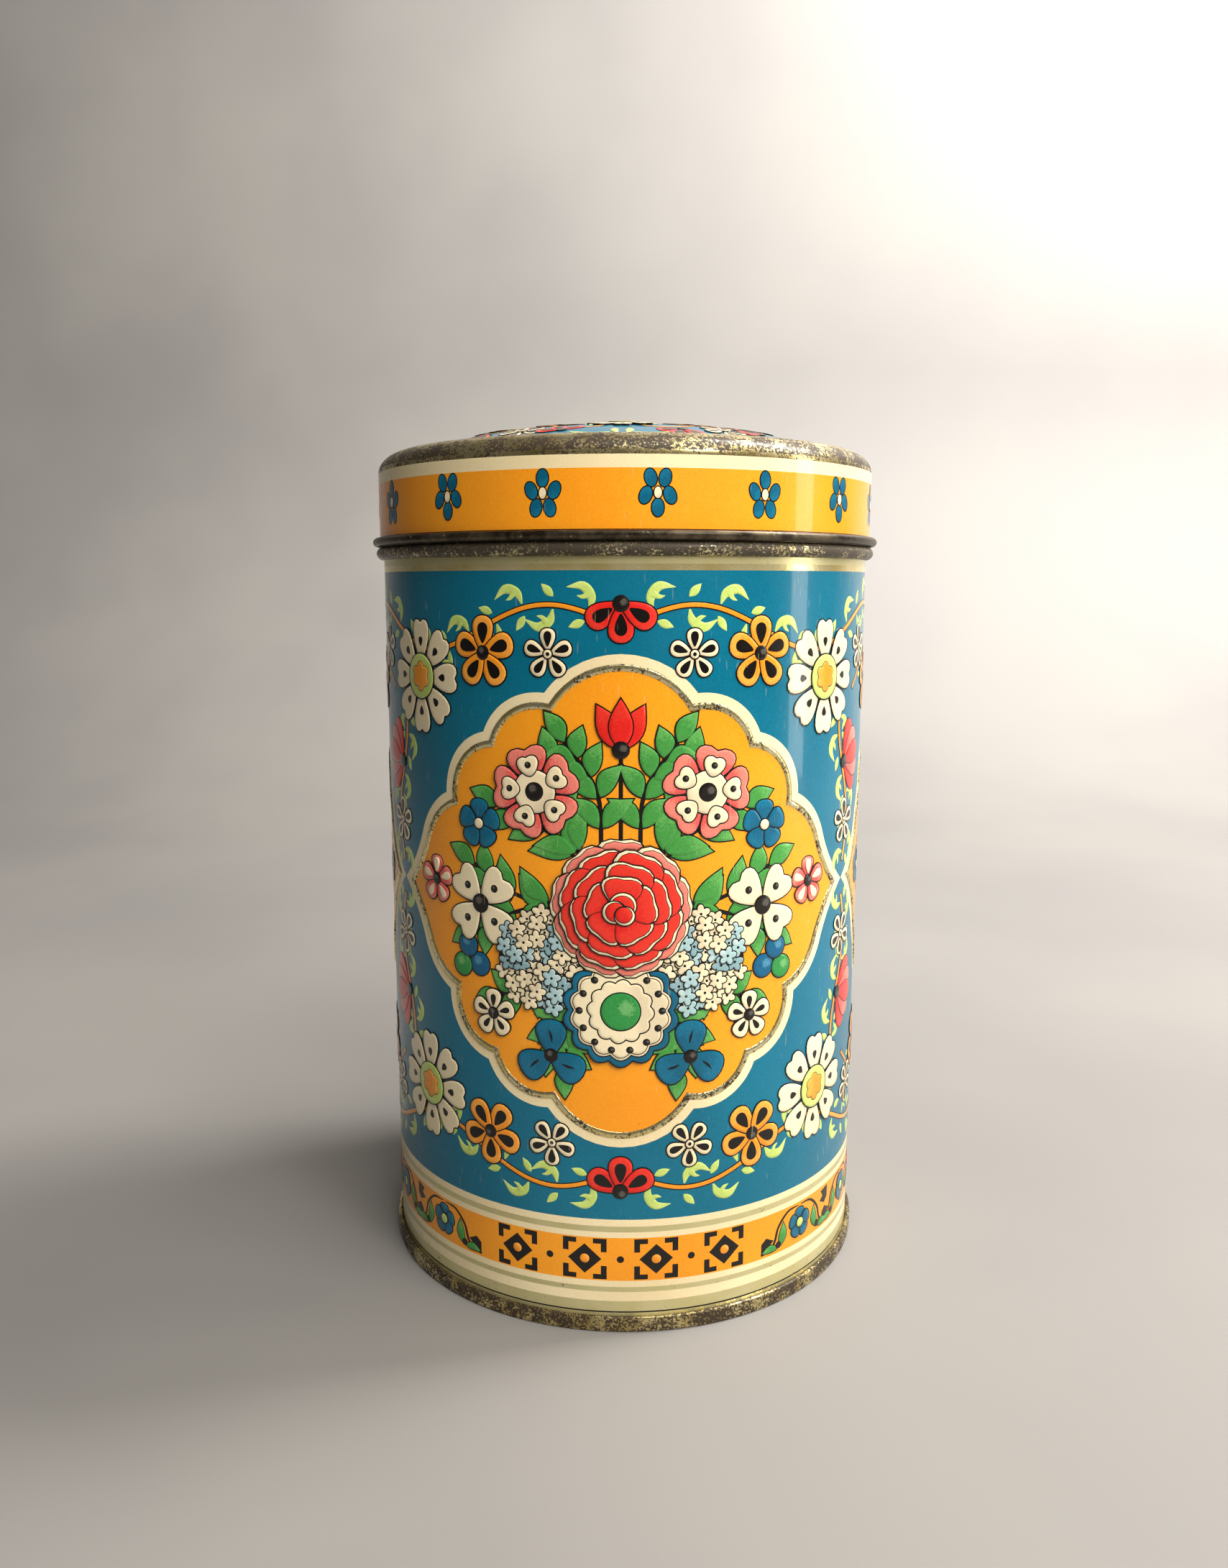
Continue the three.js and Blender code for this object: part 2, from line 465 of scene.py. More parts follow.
def bud(at):
    """A red bud that opens to both sides, on a dark bead."""
    figure = spot(at, 1.6, 5)
    for turn in (62, 90, 118):
        figure += lined("red", leaf(at, at + 9 * direction(turn), 4.2), 4 if turn == 90 else 3.9)
    return figure


def three_petals(at):
    """Three broad blue petals with a dark vein each."""
    figure = []
    for turn in around(3):
        figure += lined("blue", petal(at, 6.9, 5.8, turn, 0.5), 4 + turn / 1000)
        vein = [at + (2.6 + i) * direction(turn + 5 - 4 * i) for i in (0, 1.2, 2.4)]
        figure += film("black", stroke(vein, [0.2, 0.5, 0.1]), 5.2)
    return figure + spot(at, 1.35, 6)


def berries(at):
    """Two blue berries and a green one."""
    figure = []
    for i, turn in enumerate(around(3, 200)):
        # the ball lacquers paint a highlight on each berry
        shade = "green_ball" if i == 1 else "blue_ball"
        figure += lined(shade, disc(at + 2.5 * direction(turn), 2.2), 4 + 0.1 * i)
    return figure


def cluster(at, radius):
    """A round head of small five-lobed florets, packed like seeds, with a few gaps of blue."""
    figure = film("black", disc(at, radius - 0.2, 40), 3.6) + film("blue", disc(at, radius - 1.2, 40), 3.8)
    shades = ("pale", "cream", "grey_blue", "cream", "cream", "pale", "cream")
    count = 54
    for i in range(count):
        place = at + radius * 0.97 * math.sqrt((i + 0.4) / count) * direction(137.5 * i)
        lift = 4 + 0.03 * ((i * 23) % count)
        head = scallops(place, 1.8, 0.85, 5, 50.0 * i)
        figure += lined(shades[(i * 5) % 7], head, lift, 0.21)
        figure += film("black", disc(place, 0.3, 5), lift + 0.01)
    return figure


def scalloped_flower(at):
    """Rings of bows, blue outside and cream within, round a green heart."""
    figure = lined("blue", scallops(at, 10.6, 1.1, 14), 6)
    figure += lined("cream", scallops(at, 9.3, 0.9, 14), 7)
    figure += lined("cream", scallops(at, 8.8, 0.9, 14), 8, 0.16)
    for turn in around(14, 90 + 360 / 28):
        figure += spot(at + 7.5 * direction(turn), 0.68, 8.5)
    # the green heart takes the green_ball lacquer, which paints a highlight on it
    figure += lined("cream", scallops(at, 6.0, 0.7, 12, 10), 9) + lined("green_ball", disc(at, 3.5, 32), 10)
    return figure


def rose(at):
    """A full rose: rings of cream-edged petals, each ring smaller and turned against the last, round
    a folded heart."""
    figure = []
    rings = ((9, 13.4, 9.4, "pink"), (8, 11.6, 9.0, "red"), (6, 9.2, 8.4, "red"), (5, 6.6, 7.0, "red"))
    for ring, (count, reach, width, shade) in enumerate(rings):
        for i, turn in enumerate(around(count, 90 + 23 * ring)):
            lift = 10.2 + ring + 0.1 * i
            figure += lined("cream", petal(at, reach, width, turn, 0.62, 0.07), lift)
            inside = petal(at, reach - 0.4, width - 0.5, turn - 3, 0.62, 0.08)
            figure += lined(shade, inside, lift + 0.04, 0.14)
    for i, turn in enumerate(around(3, 70)):
        fold = at + 1.1 * direction(turn)
        figure += lined("cream", disc(fold, 2.3 - 0.3 * i), 14.6 + 0.2 * i)
        figure += lined("red", disc(fold - 0.25 * direction(turn), 2.0 - 0.3 * i), 14.65 + 0.2 * i, 0.14)
    return figure


def bouquet():
    """A mirrored bouquet: a rose over a scalloped flower on the middle line, a bud at the top, and
    the same branches and flowers on either side."""
    half = bouquet_branches() + bouquet_flowers()
    figure = half + mirrored(half, True) + stem([on_ring(90, 0.2), on_ring(90, 0.78)], 2)
    figure += bud(on_ring(90, 0.8)) + scalloped_flower(on_ring(270, 0.53))
    return figure + rose(MIDDLE_Z * 1j)


# ---------------------------------------------------------------- the borders


def vines(rows, level=1):
    """Orange vines with a dark line, given as their stops and width."""
    figure = []
    for stops, width in rows:
        figure += lined("orange", stroke(stops, [width]), level, 0.2)
    return figure


CURL_HOOK = ((0, 0.16), (0.1, 0.6), (0.55, 0.86), (1.1, 0.6))  # along and out, for a size of 1
CURL_BARB = ((0.2, 0.7), (0.4, 0.5), (0.62, 0.45))


def curls(stops, count, size):
    """Light leaves that curl away from a curve, to one side and the other in turn, and a small
    plain leaf across from each."""
    curve = smooth(stops, 8)
    figure = []
    for i in range(count):
        k = round((len(curve) - 2) * (i + 0.7) / count) or 1
        way = unit(curve[k + 1] - curve[k - 1])
        out = (-1) ** i * 1j * way
        hook = [curve[k] + size * (x * way + y * out) for x, y in CURL_HOOK]
        barb = [curve[k] + size * (x * way + y * out) for x, y in CURL_BARB]
        plain = leaf(curve[k] - 0.3 * size * out, curve[k] - size * (0.75 * out - 0.5 * way), 0.32 * size)
        figure += film("lime", stroke(hook, [0.3, 0.34 * size, 0.34 * size, 0.1]), 0.5)
        figure += film("lime", stroke(barb, [0.25 * size, 0.17 * size, 0.1]), 0.5)
        figure += film("lime", plain, 0.5)
    return figure


def sunflower(at):
    """Eight notched cream petals, each with a dark seed, round a green eye with an orange heart."""
    figure = []
    for turn in around(8):
        figure += lined("cream", petal(at + 3 * direction(turn), 8.4, 5.4, turn, 0.4, 0.16), 2 + turn / 1000)
        figure += film("black", petal(at + 5.6 * direction(turn), 1.8, 1.4, turn), 3)
    return figure + lined("lime", disc(at, 4.2, 32), 4) + lined("orange", scallops(at, 2.8, 0.7, 6), 5, 0.14)


def white_blossom(at, size=4.5):
    eye = (("cream", 0.75),)
    figure = blossom(at, around(5), size, size * 0.62, ("cream", "black"), 2, eye, inner=(0.6, 0.5))
    return figure + film("black", disc(at, 0.36, 10), 5)


def open_petals(at, turns, length, width, lacquer):
    """Petals of one lacquer, each with a dark one inside."""
    figure = []
    for turn in turns:
        figure += lined(lacquer, petal(at, length, width, turn), 2 + (turn % 360) / 1000)
        foot = at + 0.25 * length * direction(turn)
        figure += film("black", petal(foot, 0.57 * length, 0.5 * width, turn), 3)
    return figure


def orange_blossom(at):
    return open_petals(at, around(5), 6.6, 4.5, "orange") + spot(at, 1.35, 4)


def pendant(at):
    """Three red petals that hang from a dark bead."""
    return open_petals(at, (-150, -90, -30), 6.8, 4.4, "red") + spot(at, 1.5, 4)


def tulip(at):
    """A fan of red and pink petals on a dark bead, leaning to the right."""
    figure = []
    for step, lacquer in ((-2, "red"), (2, "red"), (-1, "pink"), (1, "pink"), (0, "red")):
        figure += lined(lacquer, petal(at, 8.6, 4.4, 14 + 27 * step, 0.55), 2 + len(figure) * 0.05, 0.16)
    return figure + spot(at, 1.4, 4)


def wave(x, middle, swing, length, crest):
    """A point of a vine that runs across in even waves."""
    return complex(x, middle + swing * math.cos(2 * math.pi * (x - crest) / length))


def border_corner():
    """The upper right quarter of the border, out to the middle of the small medallion: a vine in
    even waves over the medallions, and one that hangs down between them."""
    upper = [wave(x, 132.4, 4.2, QUARTER_SPAN / 1.5, 13) for x in range(2, 79, 5)]
    hanging = [complex(52 + 2.6 * math.sin((z - 84) / 6.4), z) for z in range(118, 84, -4)]
    side = [complex(x, 122.5 + 3 * math.cos((x - 64) / 3.2)) for x in range(56, 79, 3)]
    figure = vines(((upper, 0.75), (hanging, 0.7), (side, 0.6)))
    figure += curls(upper, 13, 4.7) + curls(hanging, 8, 4.4) + curls(side, 4, 3.8)
    figure += white_blossom(13 + 128j) + orange_blossom(26 + 128j) + sunflower(43 + 123j)
    figure += white_blossom(60 + 128j) + orange_blossom(69 + 121j)
    return figure + tulip(52 + 106j) + white_blossom(53 + 94j)


def border():
    """The whole border of a big medallion, out to the middles of the small ones beside it."""
    quarter = border_corner()
    upper = quarter + mirrored(quarter, True) + pendant(0 + 136.8j) + pendant(QUARTER_SPAN + 136.8j)
    return upper + mirrored(upper, False, MIDDLE_Z)


def small_bouquet(at):
    """A few flowers on the small medallion at the side."""
    figure = stem((at - 2 - 13j, at - 0.6 - 6j, at), 2) + stem((at, at + 0.6 + 7j, at - 1 + 13j), 2)
    leaves = ((28, 12), (152, 12), (-28, 12), (208, 12), (66, 13.5), (114, 13.5), (-62, 13.5), (242, 13.5))
    for i, (turn, reach) in enumerate(leaves):
        way = direction(turn)
        blade = leaf(at + 3 * way, at + reach * way, 3.4, (-1) ** i * 0.8)
        figure += lined("green", blade, LEAF_LEVEL)
    for side in (1, -1):
        figure += blossom(at + side * 12.6, around(5, 90), 3.9, 3.2, ("blue",), 4, [("cream", 0.85)])
        figure += blossom(at + side * 15.4j, around(5, 90), 4.4, 3.4, ("pink", "cream"), 4, [("black", 1.1)])
    figure += placed(heart_flower(0), at, 12, 0.82)
    return figure


# ---------------------------------------------------------------- base band and lid

BAND_Z = 14.4  # middle of the band round the foot
SKIRT_FLOWER_Z = 155.5
SKIRT_FLOWERS = 16
SCROLL_COIL = (10 - 3.6j, 7.4 - 2.2j, 6.2 + 1j, 3.6 + 3.4j, 0.4 + 3.7j)
SCROLL_LEAVES = ((5.8 - 3.2j, 4.9 + 1.6j, 2.0), (6.4 - 3.3j, 10.4 - 3.4j, 1.5))  # foot, tip, width
SCROLL_CORNER = (10.6 + 3.9j, 7.8 + 3.4j, 8.6 + 2.2j, 7.4 + 1.4j, 9.4 + 0.4j, 10.6 + 1.4j)


def lozenge_row():
    """Four plain dark ornaments across the front of the band: a lozenge in a stepped frame."""
    figure = []
    frame_half = (-4.2 + 4.1j, -1.6 + 4.1j, -1.6 + 3.1j, -3.1 + 3.1j, -3.1 + 1.4j, -4.2 + 1.4j)
    for x in (-20.4, -6.8, 6.8, 20.4):
        at = complex(x, BAND_Z)
        for corner in (lambda p: p, lambda p: -p, lambda p: p.conjugate(), lambda p: -p.conjugate()):
            figure += film("black", [at + corner(p) for p in frame_half], 1)
        diamond = [at + p for p in (-3.2 + 0j, 0 - 3j, 3.2 + 0j, 0 + 3j)]
        figure += film("black", diamond, 1) + film("orange", disc(at, 0.9, 20), 2)
    for x in (-13.6, 0, 13.6):
        figure += film("black", disc(complex(x, BAND_Z), 0.7, 14), 1)
    return figure


def band_scroll():
    """A blue flower in a scroll of dark vine and green leaves, from the lozenges to the side."""
    figure = []
    for i, x in enumerate((39.5, 58.5)):
        at = complex(x, BAND_Z)
        for side in (1, -1):
            coil = [at + complex(side * p.real, p.imag) for p in SCROLL_COIL]
            figure += film("black", stroke(coil, [0.5, 0.6, 0.6, 0.5, 0.2]), 1)
            for foot, tip, width in SCROLL_LEAVES:
                ends = [at + complex(side * p.real, p.imag) for p in (foot, tip)]
                figure += lined("green", leaf(*ends, width, side * 0.4), 2, 0.18)
            figure += film("black", disc(at + side * 6.2 - 2.7j, 0.75, 12), 3)
            figure += film("black", [at + side * p for p in SCROLL_CORNER], 1)
        figure += blossom(at, around(5, 90 + 180 * i), 3.1, 2.7, ("blue",), 3, [("lime", 0.95)], start=0.3)
    at = 70 + BAND_Z * 1j
    figure += film("black", scallops(at, 3.6, 1.1, 6), 1) + lined("pink", scallops(at, 2.3, 0.6, 6), 2, 0.1)
    return figure + film("black", disc(at, 0.8, 12), 3)


def base_band():
    return lozenge_row() + band_scroll() + mirrored(band_scroll(), True)


def oval(at, length, width, turn, points=20):
    return moved([complex(p.real * length / 2, p.imag * width / 2) for p in disc(0, 1, points)], at, turn)


def skirt_flower(at, petals_up):
    """Five blue ovals round a cream eye, with two of them or one of them at the top."""
    ovals = ((1.25 + 2.45j, 78), (-1.25 + 2.45j, 102), (2.1 - 0.45j, 112), (-2.1 - 0.45j, 68), (0 - 2.5j, 90))
    figure = []
    for i, (shift, turn) in enumerate(ovals):
        place, way = (shift, turn) if petals_up == 2 else (shift.conjugate(), -turn)
        figure += lined("blue", oval(at + place, 3.0, 2.05, way), 1 + 0.1 * i, 0.2)
    return figure + lined("cream", oval(at, 1.9, 1.3, 90), 3, 0.2)


def skirt_flowers():
    """Every other flower of the sixteen has two petals up."""
    step = 2 * math.pi * LID_R / SKIRT_FLOWERS
    start = math.radians(7.1) * LID_R
    figure = []
    for i in range(SKIRT_FLOWERS):
        figure += skirt_flower(complex(start + i * step, SKIRT_FLOWER_Z), 2 - i % 2)
    return figure


def dome_print():
    """The lid's top, seen from above: one flower in a small medallion, and a wreath round it."""
    figure = film("ground_cream", scallops(0, 18.6, 1.6, 8), 0.4)
    figure += film("bright_gold", scallops(0, 17.2, 1.5, 8), 0.5)
    figure += film("ground_orange", scallops(0, 16.4, 1.5, 8), 0.6)
    for turn in around(8, 22.5):
        figure += lined("green", leaf(5 * direction(turn), 14.6 * direction(turn), 3.6, 0.5), 1.5)
    figure += placed(heart_flower(0), 0, 0, 0.85)
    for turn in around(6, 270):
        hub = direction(turn)
        sector = placed(white_blossom(0, 4.3), 36.8 * hub * direction(30), turn + 30 - 90)
        sector += placed(orange_blossom(0), 25 * hub * direction(30), turn + 30 - 90, 0.8)
        for side in (1, -1):

            def at(reach, turned, hub=hub, side=side):
                return reach * hub * direction(side * turned)

            sector += placed(pendant(0), at(37.4, 17), turn + side * (17 + 60), 0.72)
            long_leaf = stroke([at(39.8, 3), at(40.9, 8), at(39.2, 14)], [0.2, 1.9, 0.2])
            short_leaf = leaf(at(36.5, 2), at(40.5, 1.2), 1.5, side * 0.3)
            vine_stops = ((27, 28), (30.8, 24.5), (33.8, 18), (34.6, 12), (33.2, 7.5), (30, 6))
            vine = [at(reach, turned) for reach, turned in vine_stops]
            sector += film("lime", long_leaf, 1) + film("lime", short_leaf, 1)
            sector += lined("orange", stroke(vine, [0.7]), 0.8, 0.2)
            sector += film("lime", leaf(at(24, 5), at(30, 12), 2.2, side * 0.5), 1)
        sector += placed(sunflower(0), 26.5 * hub, turn, 0.62)
        figure += sector
    return figure


# ---------------------------------------------------------------- from flat to round


def select_only(*objects):
    bpy.ops.object.select_all(action="DESELECT")
    for item in objects:
        item.select_set(True)
    bpy.context.view_layer.objects.active = objects[0]


def edit(piece):
    """Opens the piece in edit mode with everything on it selected."""
    select_only(piece)
    bpy.ops.object.mode_set(mode="EDIT")
    bpy.ops.mesh.select_mode(type="VERT")
    bpy.ops.mesh.select_all(action="SELECT")


def close_edit():
    bpy.ops.object.mode_set(mode="OBJECT")


def flat_sheet(name, figure, lift, relief=0.0):
    """One mesh of flat shapes. Its Z is each shape's height in millimetres, and its UV map runs
    from each shape's foot (0, 0) to its tip (1, 0). With relief, a shape has a ring inside its
    edge, and the attribute "tilt" says how far the edge leans outwards."""
    places, faces, inks, tilts = [], [], [], []
    for _, outline, films_under in figure:
        foot, tip = outline[0], outline[len(outline) // 2]
        area = sum((a.conjugate() * b).imag for a, b in zip(outline, outline[1:] + outline[:1]))
        rim = list(outline if area > 0 else outline[::-1])
        start, count = len(places), len(rim)
        inner, lean = inset(rim, relief) if relief else ([], [0] * count)
        height = lift(films_under)
        places += [(p.real, p.imag, height) for p in rim]
        places += [(p.real, p.imag, height + 0.4 * (lift(1) - lift(0))) for p in inner]
        tilts += lean + [0] * len(inner)
        inks += [(p - foot) / (tip - foot) for p in [*rim, *inner]]
        if relief:
            following = [(i + 1) % count for i in range(count)]
            faces += [
                (start + i, start + j, start + count + j, start + count + i) for i, j in enumerate(following)
            ]
            start += count
        faces.append(list(range(start, start + count)))
    mesh = bpy.data.meshes.new(name)
    mesh.from_pydata(places, [], faces)
    ink = mesh.uv_layers.new(name="ink")
    corners = [inks[loop.vertex_index] for loop in mesh.loops]
    ink.data.foreach_set("uv", [part for corner in corners for part in (corner.real, corner.imag)])
    tilt = mesh.attributes.new("tilt", "FLOAT_VECTOR", "POINT")
    tilt.data.foreach_set("vector", [part for lean in tilts for part in (lean.real, lean.imag, 0.0)])
    piece = bpy.data.objects.new(name, mesh)
    bpy.context.scene.collection.objects.link(piece)
    return piece


def cut_across(piece, spots, axis):
    """Cuts every face of the piece along lines square to an axis."""
    edit(piece)
    normal = [0, 0, 0]
    normal[axis] = 1
    for spot_at in spots:
        bpy.ops.mesh.select_all(action="SELECT")
        bpy.ops.mesh.bisect(plane_co=[spot_at * n for n in normal], plane_no=normal, threshold=1e-5)
    close_edit()


def thicken_down(piece, depth):
    """Gives flat films their underside, inside the metal that they are printed on."""
    edit(piece)
    bpy.ops.mesh.flip_normals()
    bpy.ops.mesh.extrude_region_move(TRANSFORM_OT_translate={"value": (0, 0, -1)})
    close_edit()
    for vertex in piece.data.vertices:
        if vertex.co.z < -0.5:
            vertex.co.z = -depth
    edit(piece)
    bpy.ops.mesh.normals_make_consistent(inside=False)
    close_edit()


def facet_cuts(outlines, radius):
    """The facet lines that cross the outlines, as distances along the metal."""
    pitch = 2 * math.pi * radius / FACETS
    reach = [p.real for outline in outlines for p in outline]
    return [k * pitch for k in range(math.ceil(min(reach) / pitch), math.floor(max(reach) / pitch) + 1)]


def wrapped(x, height, radius):
    """Where a point of the flat sheet lies, so that films keep parallel to the facets."""
    step = 2 * math.pi / FACETS
    turn = x / radius
    middle = (math.floor(turn / step + 1e-4) + 0.5) * step
    off = min(abs(turn - middle), step / 2)
    reach = (radius + height) * math.cos(step / 2) / math.cos(off)
    return reach * math.sin(turn), -reach * math.cos(turn)


def wrap(piece, radius):
    """Rolls the flat sheet round the tin and turns its millimetres into metres."""
    for vertex in piece.data.vertices:
        x, y = wrapped(vertex.co.x, vertex.co.z, radius)
        vertex.co = Vector((x, y, vertex.co.y)) * MM


def shade_round(piece, frame_at):
    """Shades a film's top along the metal's own curve, leaning outwards at its pressed edges, and
    its thin sides flat. frame_at gives the way outwards and the two ways along the metal."""
    mesh = piece.data
    mesh.shade_smooth()
    leans = np.zeros(len(mesh.vertices) * 3, np.float32)
    mesh.attributes["tilt"].data.foreach_get("vector", leans)
    leans = leans.reshape(-1, 3).tolist()
    normals = []
    for face in mesh.polygons:
        for index in face.vertices:
            outward, along, up = frame_at(mesh.vertices[index].co)
            if face.normal.dot(outward) > 0.8:
                across, rise, _ = leans[index]
                outward = (outward + EDGE_LEAN * (across * along + rise * up)).normalized()
            else:
                outward = face.normal.copy()
            normals.append(outward)
    mesh.normals_split_custom_set(normals)
    mesh.attributes.remove(mesh.attributes["tilt"])


def wall_frame(place):
    """The way outwards, the way round the tin to the right, and up, at a point of the wall."""
    outward = radial(place)
    return outward, Vector((-outward.y, outward.x, 0)), Vector((0, 0, 1))


def radial(place):
    return Vector((place.x, place.y, 0)).normalized()


def film_height(films_under):
    return bpy.context.scene.tea_tin_sizes.film * (1 + films_under)


def relief_of(lacquer_name):
    """The width of a shape's pressed edge: dark lines and plain grounds have none."""
    return 0.0 if lacquer_name in FLAT_LACQUERS else 0.55


FLAT_LACQUERS = ("black", "ground_cream", "ground_orange")
EDGE_LEAN = 0.42  # how steeply a pressed edge leans


def films(name, figure, radius, lacquer_name, copies=1, relief=0.0):
    """All shapes of one lacquer, cut, closed and rolled round the tin, then copied round it."""
    shapes = [entry for entry in figure if entry[0] == lacquer_name]
    piece = flat_sheet(name, shapes, film_height, relief)
    cut_across(piece, facet_cuts([entry[1] for entry in shapes], radius), 0)
    thicken_down(piece, 0.04)
    wrap(piece, radius)
    return turned_copies(piece, copies)


def turned_copies(piece, copies):
    """Copies the piece round the tin, each with its own mesh, and joins them."""
    made = [piece]
    for i in range(1, copies):
        select_only(piece)
        bpy.ops.object.duplicate(linked=False)
        other = bpy.context.active_object
        other.rotation_euler[2] = 2 * math.pi * i / copies
        bpy.ops.object.transform_apply(location=False, rotation=True, scale=False)
        made.append(other)
    if copies > 1:
        select_only(*made)
        bpy.ops.object.join()
    return piece


def finish(piece, body, slot, *materials):
    """Gives the piece its materials and lets it ride on its body."""
    for material in materials:
        if material.name not in piece.data.materials:
            piece.data.materials.append(material)
    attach(piece, body)
    return piece


# ---------------------------------------------------------------- sheet metal


def rounded(r, z, radius_r, radius_z, start, end, steps):
    """Points on an ellipse from one angle to another, as (radius, height)."""
    points = []
    for i in range(steps + 1):
        turn = math.radians(start + (end - start) * i / steps)
        points.append((r + radius_r * math.cos(turn), z + radius_z * math.sin(turn)))
    return points


def both_sides(path, sheet):
    """The closed outline of sheet metal that follows a middle line."""
    middle = [complex(r, z) for r, z in path]
    right, left = [], []
    for i, p in enumerate(middle):
        arriving = unit(p - middle[i - 1]) if i else unit(middle[1] - p)
        leaving = unit(middle[i + 1] - p) if i < len(middle) - 1 else arriving
        along = unit(arriving + leaving)
        miter = sheet / 2 / (along * arriving.conjugate()).real
        right.append(p - 1j * along * miter)
        left.append(p + 1j * along * miter)
    if path[-1][0] == 0:
        right[-1] = complex(0, right[-1].imag)
        left[-1] = complex(0, left[-1].imag)
    return right + left[::-1]


def spun(name, path, sheet):
    """A metal shell: a ring of points set to the sheet's section and spun round the tin's axis."""
    section = both_sides(path, sheet)
    bpy.ops.object.select_all(action="DESELECT")
    bpy.ops.mesh.primitive_circle_add(vertices=len(section), radius=1, fill_type="NOTHING")
    piece = bpy.context.active_object
    piece.name = piece.data.name = name
    for vertex, p in zip(piece.data.vertices, section):
        vertex.co = (p.real * MM, 0, p.imag * MM)
    if path[-1][0] == 0:  # a section that ends on the axis stays open there
        spots = piece.data.vertices
        crown = max(piece.data.edges, key=lambda e: -sum(abs(spots[v].co.x) for v in e.vertices))
        drop_edge(piece, crown.index)
    edit(piece)
    bpy.ops.mesh.spin(steps=FACETS, angle=2 * math.pi, center=(0, 0, 0), axis=(0, 0, 1))
    bpy.ops.mesh.select_all(action="SELECT")
    bpy.ops.mesh.remove_doubles(threshold=1e-6)
    bpy.ops.mesh.normals_make_consistent(inside=False)
    close_edit()
    select_only(piece)
    bpy.ops.object.shade_smooth_by_angle(angle=math.radians(32))
    return piece


def drop_edge(piece, index):
    edit(piece)
    bpy.ops.mesh.select_mode(type="EDGE")
    bpy.ops.mesh.select_all(action="DESELECT")
    close_edit()
    piece.data.edges[index].select = True
    bpy.ops.object.mode_set(mode="EDIT")
    bpy.ops.mesh.delete(type="EDGE_FACE")
    bpy.ops.mesh.select_mode(type="VERT")
    close_edit()


def paint_faces(piece, finish_at):
    """Gives each face the material for its place: finish_at(radius, height, outward, upward)."""
    names = [material.name for material in piece.data.materials]
    for face in piece.data.polygons:
        r = math.hypot(face.center.x, face.center.y) / MM
        out = face.normal.dot(radial(face.center))
        face.material_index = names.index(finish_at(r, face.center.z / MM, out, face.normal.z))


# ---------------------------------------------------------------- materials


def per_mm(size):
    """The scale at which a pattern on Object coordinates repeats every so many millimetres."""
    return 1 / (size * MM)


def add(tree, kind, inputs=(), **settings):
    """Adds a node with its settings. An input is set to a value or linked to another's output."""
    made = tree.nodes.new(kind)
    for setting, value in settings.items():
        setattr(made, setting, value)
    for socket, value in dict(inputs).items():
        if isinstance(value, bpy.types.NodeSocket):
            tree.links.new(value, made.inputs[socket])
        else:
            made.inputs[socket].default_value = value
    return made


def colour(value):
    """A shader colour from an sRGB hex value, or from one of the panel's linear colours."""
    return (*(linear(value) if isinstance(value, str) else value), 1.0)


def new_material(name):
    """An empty material with its output node, its tree and the Object coordinates."""
    material = bpy.data.materials.new(name)
    material.use_nodes = True
    tree = material.node_tree
    tree.nodes.clear()
    place = add(tree, "ShaderNodeTexCoord").outputs["Object"]
    return material, tree, place


def noise(tree, place, size, detail=2.0, roughness=0.5):
    """Soft noise whose clouds are a given number of millimetres across, from 0 to 1."""
    inputs = {"Vector": place, "Scale": per_mm(size), "Detail": detail, "Roughness": roughness}
    return add(tree, "ShaderNodeTexNoise", inputs).outputs["Fac"]


def between(tree, value, low, high, to_low=0.0, to_high=1.0):
    """Stretches one range of a value onto another, with soft ends."""
    inputs = {"Value": value, "From Min": low, "From Max": high, "To Min": to_low, "To Max": to_high}
    return add(tree, "ShaderNodeMapRange", inputs, interpolation_type="SMOOTHSTEP").outputs["Result"]


def maths(tree, operation, a, b=0.0):
    return add(tree, "ShaderNodeMath", {0: a, 1: b}, operation=operation).outputs[0]


def blended(tree, share, a, b, way="MIX"):
    """Mixes two colours by a share from 0 to 1."""
    inputs = {"Factor": share, 6: a, 7: b}
    return add(tree, "ShaderNodeMix", inputs, data_type="RGBA", blend_type=way).outputs[2]


def scratches(tree, place, size, density):
    """Fine hairlines at two slants, from 0 to 1."""
    found = None
    for turn, salt in ((0.5, 0.0), (-0.9, 7.3)):
        inputs = {"Vector": place, "Location": (salt, 0, 0), "Rotation": (0, turn, turn)}
        inputs["Scale"] = (1, 1, 0.09)
        slanted = add(tree, "ShaderNodeMapping", inputs).outputs["Vector"]
        line = between(tree, noise(tree, slanted, size, 1.0), 1 - density, 1 - density + 0.03)
        found = line if found is None else maths(tree, "MAXIMUM", found, line)
    broken = between(tree, noise(tree, place, 11.0), 0.5, 0.62)
    return maths(tree, "MULTIPLY", found, broken)


def surface(tree, base, roughness, bump, metallic=0.0, coat=0.0, coat_roughness=0.1, specular=0.5):
    """The shader itself. bump is (height in 0 to 1, how many millimetres it stands)."""
    height, depth = bump
    ups = {"Height": height, "Strength": 1.0, "Distance": depth * MM}
    normal = add(tree, "ShaderNodeBump", ups).outputs["Normal"]
    inputs = {"Base Color": base, "Roughness": roughness, "Metallic": metallic, "Normal": normal}
    inputs |= {"Coat Weight": coat, "Coat Roughness": coat_roughness, "Specular IOR Level": specular}
    shader = add(tree, "ShaderNodeBsdfPrincipled", inputs)
    add(tree, "ShaderNodeOutputMaterial", {"Surface": shader.outputs["BSDF"]})


